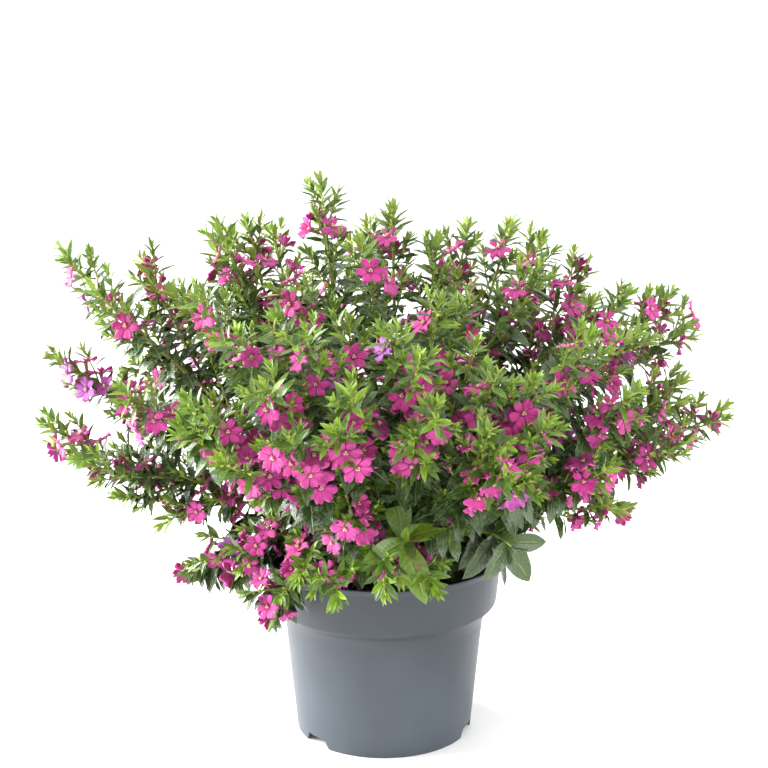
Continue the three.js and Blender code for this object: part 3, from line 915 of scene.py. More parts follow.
@dataclass(frozen=True)
class LeafBlade:
    """The glossy upper face of a leaf: yellow-green when young, dark when old, with a pale midrib. The
    darkening with age is partly the leaf's own colour and partly painted shade on the leaves deep in the
    bush.
    """

    name: str = "leaf_upper"
    heart: tuple = srgb(140, 174, 46)
    young: tuple = srgb(95, 126, 41)
    grown: tuple = srgb(56, 81, 32)
    old: tuple = srgb(29, 47, 24)
    midrib: tuple = srgb(140, 162, 92)
    ages: tuple[float, ...] = (0.04, 0.2, 0.45, 0.85)
    own_variation: float = 0.34
    mottle_scale: float = 330.0
    mottle_share: float = 0.35
    vein_slant: float = 0.16
    vein_waves: float = 62.0
    vein_range: tuple[float, float] = (0.72, 0.98)
    vein_share: float = 0.2
    rib_range: tuple[float, float] = (0.05, 0.15)
    line_share: float = 0.38
    edge_range: tuple[float, float] = (0.86, 1.0)
    edge_share: float = 0.16
    roughness: tuple[float, float] = (0.16, 0.38)
    mottle_relief: float = 0.6
    relief_strength: float = 0.8
    vein_height: float = 0.0005
    shine: float = 0.6

    def material(self) -> bpy.types.Material:
        """Returns the finished material."""
        sheet = ShaderSheet(self.name)
        age, own = sheet.tint()
        across, along = sheet.across_and_along()
        shifted = sheet.math("ADD", age, sheet.scaled(sheet.math("SUBTRACT", own, 0.5), self.own_variation))
        # Painted shade in part: the green darkens with age, and age grows with the distance from the tip,
        # so the leaves deep in the bush come out darker, as if in shade.
        green = sheet.ramp(shifted, list(zip(self.ages, (self.heart, self.young, self.grown, self.old))))
        mottle = sheet.noise(self.mottle_scale)
        green = sheet.mix(sheet.scaled(mottle, self.mottle_share), green, sheet.mix(0.5, green, self.young))
        slant = sheet.math("SUBTRACT", along, sheet.scaled(across, self.vein_slant))
        waves = sheet.math("SINE", sheet.scaled(slant, self.vein_waves))
        vein = sheet.fade_in(waves, *self.vein_range)
        rib = sheet.fade_out(across, *self.rib_range)
        edge = sheet.fade_in(across, *self.edge_range)
        lines = sheet.math("MAXIMUM", sheet.scaled(vein, self.vein_share), rib)
        colour = sheet.mix(sheet.scaled(lines, self.line_share), green, self.midrib)
        sheet.colour(sheet.mix(sheet.scaled(edge, self.edge_share), colour, self.midrib))
        sheet.rough(mottle, *self.roughness)
        relief = sheet.math("SUBTRACT", sheet.scaled(mottle, self.mottle_relief), lines)
        sheet.bump(relief, self.relief_strength, self.vein_height)
        sheet.shine(self.shine)
        return sheet.material


LEAF_UNDERSIDE = LeafBlade(
    name="leaf_under",
    heart=srgb(156, 178, 72),
    young=srgb(120, 146, 64),
    grown=srgb(88, 116, 54),
    old=srgb(58, 82, 42),
    midrib=srgb(148, 168, 100),
    roughness=(0.5, 0.7),
    vein_height=0.0003,
)


@dataclass(frozen=True)
class StemBark:
    """Stem skin: red-brown bark at the foot and green, faintly ridged skin near the tip."""

    tip: tuple = srgb(150, 178, 70)
    green: tuple = srgb(118, 138, 56)
    brown: tuple = srgb(124, 84, 52)
    bark: tuple = srgb(84, 58, 42)
    flush: tuple = srgb(150, 82, 62)
    skin_scale: float = 500.0
    wear: float = 0.5
    flush_share: float = 0.25
    roughness: tuple[float, float] = (0.5, 0.8)
    relief: tuple[float, float] = (0.6, 0.0003)

    def material(self) -> bpy.types.Material:
        """Returns the finished material."""
        sheet = ShaderSheet("stem_bark")
        age, own = sheet.tint()
        skin = sheet.noise(self.skin_scale, 4.0)
        worn = sheet.math("ADD", age, sheet.scaled(sheet.math("SUBTRACT", skin, 0.5), self.wear))
        stops = [(0.0, self.tip), (0.3, self.green), (0.55, self.brown), (0.9, self.bark)]
        colour = sheet.ramp(worn, stops)
        sheet.colour(sheet.mix(sheet.scaled(own, self.flush_share), colour, self.flush))
        sheet.rough(skin, *self.roughness)
        sheet.bump(skin, *self.relief)
        return sheet.material


@dataclass(frozen=True)
class BudSkin:
    """Buds and calyx tubes: pale green, flushed red on some."""

    pale: tuple = srgb(168, 192, 84)
    green: tuple = srgb(120, 150, 56)
    brown: tuple = srgb(134, 84, 72)
    flush: tuple = srgb(176, 92, 96)
    blush_scale: float = 700.0
    flush_share: float = 0.55
    roughness: tuple[float, float] = (0.35, 0.55)
    relief: tuple[float, float] = (0.4, 0.0002)

    def material(self) -> bpy.types.Material:
        """Returns the finished material."""
        sheet = ShaderSheet("bud_skin")
        age, own = sheet.tint()
        blush = sheet.noise(self.blush_scale, 2.0)
        colour = sheet.ramp(age, [(0.1, self.pale), (0.6, self.green), (1.0, self.brown)])
        flushed = sheet.scaled(sheet.scaled(blush, own), self.flush_share)
        sheet.colour(sheet.mix(flushed, colour, self.flush))
        sheet.rough(blush, *self.roughness)
        sheet.bump(blush, *self.relief)
        return sheet.material


@dataclass(frozen=True)
class Petal:
    """Crinkled petals: magenta with darker veins and throat, violet on aged blooms."""

    bright: tuple = srgb(211, 43, 148)
    deep: tuple = srgb(178, 13, 112)
    aged: tuple = srgb(160, 92, 190)
    veined: tuple = srgb(118, 4, 76)
    patched: tuple = srgb(216, 66, 160)
    throat: tuple = srgb(120, 8, 78)
    rim: tuple = srgb(220, 88, 174)
    vein_waves: float = 17.0
    vein_wobble: float = 4.0
    wobble_scale: float = 420.0
    vein_range: tuple[float, float] = (0.55, 0.95)
    fade_range: tuple[float, float] = (0.1, 0.9)
    vein_share: float = 0.8
    patch_scale: float = 160.0
    patch_range: tuple[float, float] = (0.3, 0.75)
    patch_share: float = 0.4
    throat_range: tuple[float, float] = (0.02, 0.22)
    throat_share: float = 0.4
    rim_range: tuple[float, float] = (0.72, 1.0)
    rim_share: float = 0.35
    crinkle_scale: float = 900.0
    roughness: tuple[float, float] = (0.45, 0.7)
    vein_relief: float = 0.5
    relief: tuple[float, float] = (0.7, 0.0003)
    sheen: float = 0.25

    def material(self) -> bpy.types.Material:
        """Returns the finished material."""
        sheet = ShaderSheet("petal")
        age, own = sheet.tint()
        across, along = sheet.across_and_along()
        fresh = sheet.mix(own, self.bright, self.deep)
        colour = sheet.mix(age, fresh, self.aged)
        fan = sheet.scaled(across, self.vein_waves)
        wobble = sheet.scaled(sheet.noise(self.wobble_scale), self.vein_wobble)
        waves = sheet.math("SINE", sheet.math("ADD", fan, wobble))
        vein = sheet.fade_in(waves, *self.vein_range)
        fade = sheet.fade_out(along, *self.fade_range)
        veins = sheet.scaled(sheet.scaled(vein, fade), self.vein_share)
        patches = sheet.fade_in(sheet.noise(self.patch_scale), *self.patch_range)
        throat = sheet.fade_out(along, *self.throat_range)
        rim = sheet.fade_in(along, *self.rim_range)
        for share, tone in (
            (veins, self.veined),
            (sheet.scaled(patches, self.patch_share), self.patched),
            (sheet.scaled(throat, self.throat_share), self.throat),
            (sheet.scaled(rim, self.rim_share), self.rim),
        ):
            colour = sheet.mix(share, colour, tone)
        sheet.colour(colour)
        crinkle = sheet.noise(self.crinkle_scale)
        sheet.rough(crinkle, *self.roughness)
        sheet.bump(sheet.math("SUBTRACT", crinkle, sheet.scaled(vein, self.vein_relief)), *self.relief)
        sheet.surface.inputs["Sheen Weight"].default_value = self.sheen
        return sheet.material


@dataclass(frozen=True)
class Anther:
    """The pale anthers and the yellow-green heart of a bloom."""

    green: tuple = srgb(196, 190, 96)
    pale: tuple = srgb(240, 226, 170)
    pollen_scale: float = 2400.0
    roughness: tuple[float, float] = (0.6, 0.85)
    relief: tuple[float, float] = (0.5, 0.0002)

    def material(self) -> bpy.types.Material:
        """Returns the finished material."""
        sheet = ShaderSheet("anther")
        pollen = sheet.noise(self.pollen_scale, 2.0)
        sheet.colour(sheet.ramp(pollen, [(0.3, self.green), (0.7, self.pale)]))
        sheet.rough(pollen, *self.roughness)
        sheet.bump(pollen, *self.relief)
        return sheet.material


# Meshes


def finish_piece(
    name: str, body: bmesh.types.BMesh, finishes: list[bpy.types.Material], nodes: Iterable[str]
) -> bpy.types.Object:
    """Turns a bmesh in millimetres into a finished piece.

    Args:
        name: the piece's name.
        body: its mesh, which is freed.
        finishes: its materials, in slot order.
        nodes: the CAD nodes that it stands for.

    Returns:
        The piece.
    """
    bmesh.ops.scale(body, vec=(METRES,) * 3, verts=body.verts[:])
    mesh = mesh_of(body, name)
    for finish in finishes:
        mesh.materials.append(finish)
    piece = add_object(name, mesh)
    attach(piece, BODY)
    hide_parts(*nodes)
    mesh.calc_loop_triangles()
    LOG.info("%s: %d triangles", name, len(mesh.loop_triangles))
    return piece


class LeafAge(Enum):
    """The ages at which a leaf has a form of its own."""

    YOUNG = "young"
    GROWN = "grown"
    OLD = "old"
    BROAD = "broad"


@dataclass(frozen=True)
class LeafForm:
    """A leaf one unit long, its root at the origin, its tip along +Y and its upper face up."""

    half_width: float
    widest_at: float
    droop: float
    fold: float
    rings: int = 6
    corners: int = 4
    thickness: float = 0.03
    ripple: float = 0.0
    ripple_waves: tuple[float, float] = (15, 2)
    fullness: tuple[float, float] = (0.75, 0.8)

    def outline(self, share: float) -> float:
        """Gives the leaf's half width.

        Args:
            share: the share of its length, from the root.

        Returns:
            The half width there.
        """
        if share < self.widest_at:
            return self.half_width * math.sin(math.pi / 2 * share / self.widest_at) ** self.fullness[0]
        beyond = (share - self.widest_at) / (1 - self.widest_at)
        return self.half_width * math.cos(math.pi / 2 * beyond) ** self.fullness[1]

    def template(self) -> bpy.types.Mesh:
        """Builds the leaf's mesh.

        Returns:
            A closed mesh: faces of material 0 are the upper side, and of material 1 the lower.
        """
        body = ringed_tube(self.corners, self.rings, cap_ends=False)
        uv = body.loops.layers.uv.new(UV_MAP)
        for face in body.faces:
            face.smooth = True
            face.material_index = 0 if sum(vertex.co.y for vertex in face.verts) > 0 else 1
            for loop in face.loops:
                loop[uv].uv = (0.5 + 0.5 * loop.vert.co.x, loop.vert.co.z + 0.5)
        for edge in body.edges:
            edge.smooth = not all(abs(vertex.co.x) > 0.99 for vertex in edge.verts)
        along_wave, across_wave = self.ripple_waves
        for vertex in body.verts:
            across, height, share = vertex.co.x, vertex.co.y, vertex.co.z + 0.5
            width = self.outline(share)
            swell = self.thickness * height * math.sin(math.pi * share) * 0.5
            ripple = self.ripple * math.sin(along_wave * share + across_wave * across) * width
            fold = self.fold * abs(across) * width - ripple
            vertex.co = (across * width, share, swell + fold - self.droop * share * share)
        bmesh.ops.remove_doubles(body, verts=body.verts[:], dist=1e-4)
        bmesh.ops.recalc_face_normals(body, faces=body.faces[:])
        return mesh_of(body, "leaf")


LEAF_FORMS = {
    LeafAge.YOUNG: LeafForm(half_width=0.14, widest_at=0.45, droop=0.08, fold=0.5, rings=5),
    LeafAge.GROWN: LeafForm(half_width=0.142, widest_at=0.45, droop=0.18, fold=0.35, rings=5, ripple=0.12),
    LeafAge.OLD: LeafForm(half_width=0.2, widest_at=0.48, droop=0.2, fold=0.22, ripple=0.16),
    LeafAge.BROAD: LeafForm(
        half_width=0.21, widest_at=0.5, droop=0.2, fold=0.3, rings=8, corners=8, ripple=0.1
    ),
}


@dataclass(frozen=True)
class PetalForm:
    """One petal, from the throat outwards along +Y, its face towards +Z. Lengths are millimetres."""

    reach: float
    width: float
    flare: float
    crinkle: float
    thickness: float = 0.3
    throat: float = 1.0
    claw: float = 0.2
    widest_at: float = 0.7
    narrowing: float = 0.6
    corner: float = 0.12
    corner_from: float = 0.4
    waves: tuple[float, float] = (4.1, 2.3)
    cup: float = 0.5

    def half_width(self, share: float) -> float:
        """Gives the petal's half width.

        Args:
            share: the share of its length, from the throat.

        Returns:
            The half width there.
        """
        opened = self.claw + (1 - self.claw) * math.sin(math.pi / 2 * min(1.0, share / self.widest_at))
        closing = max(0.0, (share - self.widest_at) / (1 - self.widest_at))
        return self.width / 2 * opened * math.sqrt(max(0.0, 1 - self.narrowing * closing**2))

    def add_to(self, bloom: bmesh.types.BMesh, turn: float) -> None:
        """Adds the petal to a bloom.

        Args:
            bloom: the bloom's mesh.
            turn: its turn round the bloom, in degrees from +X.
        """
        petal = bmesh.new()
        uv = petal.loops.layers.uv.new(UV_MAP)
        bmesh.ops.create_grid(petal, x_segments=3, y_segments=4, size=0.5)
        for face in petal.faces:
            face.smooth = True
            for loop in face.loops:
                loop[uv].uv = (loop.vert.co.x + 0.5, loop.vert.co.y + 0.5)
        for vertex in petal.verts:
            across, share = 2 * vertex.co.x, vertex.co.y + 0.5
            beyond = max(0.0, share - self.corner_from) / (1 - self.corner_from)
            round_off = self.corner * across * across * beyond
            out = self.throat + (self.reach - self.throat) * (share - round_off)
            ruffle = self.crinkle * share * math.sin(self.waves[0] * across + self.waves[1] * share + turn)
            cup = self.cup * (1 - across * across) * share
            lift = self.flare * math.sin(math.pi / 2 * share) + ruffle - cup
            vertex.co = (across * self.half_width(share), out, lift)
        bmesh.ops.solidify(petal, geom=petal.faces[:], thickness=self.thickness)
        bmesh.ops.recalc_face_normals(petal, faces=petal.faces[:])
        turning = Matrix.Rotation(math.radians(turn - 90), 3, "Z")
        bmesh.ops.rotate(petal, matrix=turning, verts=petal.verts[:])
        mesh = mesh_of(petal, "petal")
        bloom.from_mesh(mesh)
        bpy.data.meshes.remove(mesh)


@dataclass(frozen=True)
class BloomForm:
    """A bloom's corolla: its mouth at the origin, its face towards +Z and its upper petals towards +Y."""

    lower: PetalForm
    upper: PetalForm
    lower_turns: tuple[float, ...] = (-178, -122, -62, -6)
    upper_turns: tuple[float, ...] = (58, 118)
    mouth_radii: tuple[float, float] = (0.9, 1.5)
    mouth_depth: float = 1.4
    mouth_z: float = -0.2
    anthers: int = 3
    anther_circle: float = 0.6
    anther_z: float = 1.1
    anther_size: tuple[float, float, float] = (0.42, 0.42, 0.7)

    def template(self) -> bpy.types.Mesh:
        """Builds the corolla: faces of material 0 are petals, and of material 1 anthers.

        Returns:
            The mesh.
        """
        body = bmesh.new()
        body.loops.layers.uv.new(UV_MAP)
        for turn in self.lower_turns:
            self.lower.add_to(body, turn)
        for turn in self.upper_turns:
            self.upper.add_to(body, turn)
        mouth = bmesh.ops.create_cone(
            body, cap_ends=True, segments=8, radius1=self.mouth_radii[0], radius2=self.mouth_radii[1],
            depth=self.mouth_depth, matrix=Matrix.Translation((0, 0, self.mouth_z)),
        )
        for face in faces_of(mouth["verts"]):
            face.smooth = True
        for index in range(self.anthers):
            around = math.radians(90 + 360 * index / self.anthers)
            x, y = self.anther_circle * math.cos(around), self.anther_circle * math.sin(around)
            place = Matrix.Translation((x, y, self.anther_z))
            size = Matrix.Diagonal((*self.anther_size, 1))
            anther = bmesh.ops.create_icosphere(body, subdivisions=1, radius=1, matrix=place @ size)
            for face in faces_of(anther["verts"]):
                face.smooth = True
                face.material_index = 1
        return mesh_of(body, "bloom")


class BloomStage(Enum):
    """The stages at which a bloom has a form of its own."""

    OPEN = "open"
    SPREAD = "spread"
    HALF_OPEN = "half open"


BLOOM_FORMS = {
    BloomStage.OPEN: BloomForm(PetalForm(7.2, 4.3, 1.3, 1.1), PetalForm(6.8, 4.1, 2.0, 1.0)),
    BloomStage.SPREAD: BloomForm(
        PetalForm(7.8, 4.5, 0.6, 1.3), PetalForm(6.8, 3.8, 1.4, 1.1), (-158, -112, -68, -22), (54, 126)
    ),
    BloomStage.HALF_OPEN: BloomForm(PetalForm(5.9, 4.1, 3.8, 0.9), PetalForm(5.5, 3.9, 4.2, 0.8)),
}


@dataclass(frozen=True)
class Leaf:
    """One leaf: its form, length, angle with the shoot, how far it hangs, and its age from 0 to 1."""

    form: LeafAge
    length: float
    spread: float
    hang: float
    age: float


class Fitting(Enum):
    """The small round pieces that a shoot carries."""

    BUD = "bud"
    CALYX = "calyx"
    MAIN_TUBE = "main tube"
    TWIG_TUBE = "twig tube"


@dataclass(frozen=True)
class TubeForm:
    """A closed tube one unit long on +Z, its radius a share of one unit along it."""

    sides: int
    rings: int
    radius: Callable[[float], float]
    material_index: int

    def template(self) -> bpy.types.Mesh:
        """Builds the tube.

        Returns:
            The mesh.
        """
        body = ringed_tube(self.sides, self.rings, cap_ends=True, middle=0.5)
        for vertex in body.verts:
            radius = self.radius(vertex.co.z)
            vertex.co = (vertex.co.x * radius, vertex.co.y * radius, vertex.co.z)
        uv = body.loops.layers.uv.new(UV_MAP)
        for face in body.faces:
            face.smooth = True
            face.material_index = self.material_index
            for loop in face.loops:
                loop[uv].uv = (0.5, clamp01(loop.vert.co.z))
        bmesh.ops.recalc_face_normals(body, faces=body.faces[:])
        return mesh_of(body, "tube")


def bud_radius(share: float) -> float:
    """Returns a bud's radius at that share of its length."""
    return 0.08 + 0.3 * math.sin(math.pi * min(1.0, share * 0.94 + 0.03)) ** 0.8


def calyx_radius(share: float) -> float:
    """Returns a calyx's radius at that share: a thin stalk that swells into a ribbed tube."""
    if share < 0.3:
        return 0.04
    return between(0.09, 0.15, (share - 0.3) / 0.7)


def plain_radius(_share: float) -> float:
    """Returns one, for a tube whose radius is set as it is laid."""
    return 1.0


TUBE_FORMS = {
    Fitting.BUD: TubeForm(6, 4, bud_radius, 3),
    Fitting.CALYX: TubeForm(6, 5, calyx_radius, 3),
    Fitting.MAIN_TUBE: TubeForm(6, 14, plain_radius, 2),
    Fitting.TWIG_TUBE: TubeForm(5, 5, plain_radius, 2),
}


class Gathering:
    """One bmesh that gathers many placed copies of small template meshes."""

    def __init__(self) -> None:
        """Starts an empty mesh with a UV map and a tint."""
        self.body = bmesh.new()
        self.body.loops.layers.uv.new(UV_MAP)
        self.tint = self.body.verts.layers.float_color.new(TINT)

    def _take(self, template: bpy.types.Mesh, age: float, own: float) -> list[bmesh.types.BMVert]:
        """Adds a copy of a template at the origin.

        Args:
            template: the mesh to copy.
            age: the copy's age, from 0 to 1.
            own: a number of its own, from 0 to 1.

        Returns:
            The copy's vertices.
        """
        first = len(self.body.verts)
        self.body.from_mesh(template)
        self.body.verts.ensure_lookup_table()
        fresh = self.body.verts[first:]
        for vertex in fresh:
            vertex[self.tint] = (age, own, 0.0, 1.0)
        return fresh

    def place(self, template: bpy.types.Mesh, placing: Matrix, age: float, own: float) -> None:
        """Adds a copy of a template.

        Args:
            template: the mesh to copy.
            placing: where it goes.
            age: its age, from 0 to 1.
            own: a number of its own, from 0 to 1.
        """
        bmesh.ops.transform(self.body, matrix=placing, verts=self._take(template, age, own))

    def lay(
        self,
        template: bpy.types.Mesh,
        line: ShootLine,
        radius: tuple[float, float],
        age: tuple[float, float],
        own: float,
    ) -> None:
        """Lays a tube along a shoot's line.

        Args:
            template: the tube, one unit long.
            line: the line that it follows.
            radius: its radius at the start and at the tip.
            age: its age at the start and at the tip.
            own: a number of its own, from 0 to 1.
        """
        for vertex in self._take(template, 0.0, own):
            share = clamp01(vertex.co.z)
            station = line.station_at(share)
            thick = between(radius[0], radius[1], share)
            vertex[self.tint] = (between(age[0], age[1], share), own, 0.0, 1.0)
            aside = station.side * (vertex.co.x * thick)
            vertex.co = station.point + aside + station.normal * (vertex.co.y * thick)


def placing(root: Vector, across: Vector, ahead: Vector, upper: Vector, size: float) -> Matrix:
    """Makes the matrix that places a template.

    Args:
        root: where its origin goes.
        across: where its +X points.
        ahead: where its +Y points.
        upper: where its +Z points.
        size: its scale.

    Returns:
        The matrix.
    """
    turn = Matrix((across, ahead, upper)).transposed().to_4x4()
    return Matrix.Translation(root) @ turn @ Matrix.Diagonal((size, size, size, 1.0))


# The sub-assemblies


@dataclass
class Pot:
    """The round nursery pot. Lengths are millimetres."""

    height: float = 100
    rim_radius: float = 65
    collar_top_radius: float = 63.2
    collar_foot_radius: float = 61
    collar_foot_z: float = 73.5
    wall_top_radius: float = 54.1
    wall_top_z: float = 67
    foot_radius: float = 47.6
    lip_z: float = 96
    wall: float = 1.6
    floor_z: float = 2.2
    centre_foot_radius: float = 20
    steps: int = 120
    notch_count: int = 3
    first_notch: float = -139
    notch_width: float = 19
    notch_top_width: float = 13
    notch_height: float = 5
    drain_count: int = 6
    drain_radius: float = 4
    drain_circle_radius: float = 33
    lip_edge: tuple[float, float] = (0.4, 0.8)
    inner_lip_drop: float = 0.5
    inner_collar_rise: float = 1.1
    inner_shoulder_rise: float = 1
    crease_degrees: float = 32
    rounding: float = 0.5
    collar_rounding: float = 1.0
    shoulder_rounding: float = 6.0

    def profile(self) -> list[tuple[float, float]]:
        """Returns the closed half outline as radii and heights, from the middle of the underside round."""
        ring = self.foot_radius - self.wall
        top = self.floor_z + self.wall
        return [
            (0, 0),
            (self.centre_foot_radius, 0),
            (self.centre_foot_radius + self.floor_z, self.floor_z),
            (ring - self.floor_z / 2, self.floor_z),
            (ring, 0),
            (self.foot_radius, 0),
            (self.wall_top_radius, self.wall_top_z),
            (self.collar_foot_radius, self.collar_foot_z),
            (self.collar_top_radius, self.lip_z),
            (self.rim_radius, self.height - self.lip_edge[1]),
            (self.rim_radius - self.lip_edge[0], self.height),
            (self.rim_radius - self.wall, self.height),
            (self.collar_top_radius - self.wall, self.lip_z - self.inner_lip_drop),
            (self.collar_foot_radius - self.wall, self.collar_foot_z + self.inner_collar_rise),
            (self.wall_top_radius - self.wall, self.wall_top_z + self.inner_shoulder_rise),
            (ring, top),
            (0, top),
        ]

    def _shell(self) -> bmesh.types.BMesh:
        """Turns the outline into the pot's closed shell, with its rings rounded."""
        body = bmesh.new()
        points = [body.verts.new((radius, 0, z)) for radius, z in self.profile()]
        edges = [body.edges.new(pair) for pair in zip(points, points[1:])]
        roundings = (
            (points[1:6] + points[8:-1], self.rounding, 3),
            (points[6:7], self.shoulder_rounding, 8),
            (points[7:8], self.collar_rounding, 4),
        )
        for corners, offset, segments in roundings:
            bmesh.ops.bevel(
                body, geom=corners, offset=offset, offset_type="OFFSET", segments=segments, profile=0.5,
                affect="VERTICES", material=-1,
            )
        spin_round(body, self.steps)
        return body

    def _cutters(self) -> bmesh.types.BMesh:
        """Builds the notches of the foot ring and the drainage holes as one mesh."""
        body = bmesh.new()
        for index in range(self.notch_count):
            around = math.radians(self.first_notch + index * 360 / self.notch_count)
            made = bmesh.ops.create_cube(body, size=1)["verts"]
            for vertex in made:
                width = self.notch_top_width if vertex.co.z > 0 else self.notch_width
                z = self.notch_height if vertex.co.z > 0 else -1
                vertex.co = (vertex.co.x * 4 * self.wall + self.foot_radius, vertex.co.y * width, z)
            bmesh.ops.rotate(body, matrix=Matrix.Rotation(around, 3, "Z"), verts=made)
        for index in range(self.drain_count):
            around = (index + 0.5) * 2 * math.pi / self.drain_count
            place = Vector((math.cos(around), math.sin(around), 0)) * self.drain_circle_radius
            bmesh.ops.create_cone(
                body, cap_ends=True, segments=24, radius1=self.drain_radius, radius2=self.drain_radius,
                depth=4 * self.floor_z, matrix=Matrix.Translation(place),
            )
        bmesh.ops.recalc_face_normals(body, faces=body.faces[:])
        return body

    def build(self) -> bpy.types.Object:
        """Builds and dresses the pot.

        Returns:
            The piece.
        """
        shell, cutters = (
            add_object("pot_part", mesh_of(body, "pot_part")) for body in (self._shell(), self._cutters())
        )
        cut = shell.modifiers.new("cut", "BOOLEAN")
        cut.operation, cut.object, cut.solver = "DIFFERENCE", cutters, "EXACT"
        evaluated = shell.evaluated_get(bpy.context.evaluated_depsgraph_get())
        body = bmesh.new()
        body.from_mesh(evaluated.to_mesh())
        for part in (shell, cutters):
            bpy.data.objects.remove(part)
        for face in body.faces:
            face.smooth = True
        crease = math.radians(self.crease_degrees)
        for edge in body.edges:
            edge.smooth = not (edge.is_manifold and edge.calc_face_angle() > crease)
        return finish_piece("pot_shell", body, [PotPlastic().material()], ["pot"])


@dataclass
class Soil:
    """The potting mix that fills the pot, with crumbs on its surface. Lengths are millimetres."""

    edge_z: float = 87
    edge_radius: float = 59.6
    crown_z: float = 89.5
    crown_radius: float = 42
    foot_z: float = 4.2
    foot_radius: float = 45.4
    shoulder_z: float = 68.9
    shoulder_radius: float = 51.9
    neck_z: float = 75.4
    neck_radius: float = 58.6
    rings: int = 18
    steps: int = 72
    crumbs: int = 900
    crumb_sizes: tuple[float, float] = (0.5, 1.9)
    crumb_widths: tuple[float, float] = (0.5, 0.9)
    crumb_depths: tuple[float, float] = (0.4, 0.8)
    crumb_margin: float = 2
    crumb_spread: tuple[float, float] = (0.12, 1.0)
    crumb_lift: float = 0.2
    crumb_seed: int = 901
    waves: tuple[tuple[float, float], ...] = ((1.6, 0.16), (0.9, 0.5))
    still_edge: float = 1

    def surface_z(self, radius: float) -> float:
        """Returns the height of the surface at that radius."""
        share = clamp01((self.edge_radius - radius) / (self.edge_radius - self.crown_radius))
        return between(self.edge_z, self.crown_z, share)

    def build(self) -> bpy.types.Object:
        """Builds and dresses the potting mix.

        Returns:
            The piece.
        """
        body = bmesh.new()
        profile = [
            (0, self.foot_z),
            (self.foot_radius, self.foot_z),
            (self.shoulder_radius, self.shoulder_z),
            (self.neck_radius, self.neck_z),
            (self.edge_radius, self.edge_z),
        ]
        for ring in range(1, self.rings + 1):
            radius = self.edge_radius * (1 - ring / self.rings)
            profile.append((radius, self.surface_z(radius)))
        points = [body.verts.new((radius, 0, z)) for radius, z in profile]
        for pair in zip(points, points[1:]):
            body.edges.new(pair)
        spin_round(body, self.steps)
        for vertex in body.verts:
            radius = math.hypot(vertex.co.x, vertex.co.y)
            is_on_top = vertex.co.z > self.edge_z - self.still_edge
            if is_on_top and radius < self.edge_radius - self.still_edge:
                vertex.co.z += sum(height * noise.noise(vertex.co * scale) for height, scale in self.waves)
        self._scatter(body)
        for face in body.faces:
            face.smooth = True
        finishes = [PottingMix().material()]
        return finish_piece("potting_mix_bed", body, finishes, ["potting_mix"])

    def _scatter(self, body: bmesh.types.BMesh) -> None:
        """Scatters crumbs over the surface.

        Args:
            body: the mesh to add them to.
        """
        stream = RandomStream(self.crumb_seed)
        for _ in range(self.crumbs):
            share = math.sqrt(stream.draw_between(*self.crumb_spread))
            radius = (self.edge_radius - self.crumb_margin) * share
            around = stream.draw_between(0, 2 * math.pi)
            size = between(*self.crumb_sizes, stream.draw() ** 3)
            height = self.surface_z(radius)
            place = Vector((radius * math.cos(around), radius * math.sin(around), height))
            place += Z_UP * self.crumb_lift * size
            turn = Quaternion([stream.draw() for _ in range(4)]).normalized().to_matrix().to_4x4()
            width = size * stream.draw_between(*self.crumb_widths)
            depth = size * stream.draw_between(*self.crumb_depths)
            stretch = Matrix.Diagonal((size, width, depth, 1))
            bmesh.ops.create_icosphere(
                body, subdivisions=1, radius=1, matrix=Matrix.Translation(place) @ turn @ stretch
            )


@dataclass(frozen=True)
class Habit:
    """How the leaves of a shoot grow.

    The span is how far below its tip they are old and dark, which also paints shade on the leaves deep in
    the bush; the hang span is how far below they hang to the full.
    """

    span: float
    first_age: float = 0.0
    size: float = 1.0
    hang: float = 0.45
    hang_span: float = 70
    broad: bool = False


# Short spans make the leaves deep in the bush old and dark: partly their own colour, partly painted shade.
LEADER = Habit(span=58)
LOW_LEADER = Habit(span=22, first_age=0.22, size=1.4, hang=1.1, hang_span=8)
TWIG = Habit(span=38, size=0.85)
LOW_TWIG = Habit(span=22, first_age=0.22, size=1.2, hang=1.0, hang_span=8)
ROSETTE = Habit(span=400, first_age=0.2, hang=0.15, broad=True)
MATURE_ROSETTE = Habit(span=100, first_age=0.5, hang=0.4, hang_span=20, broad=True)


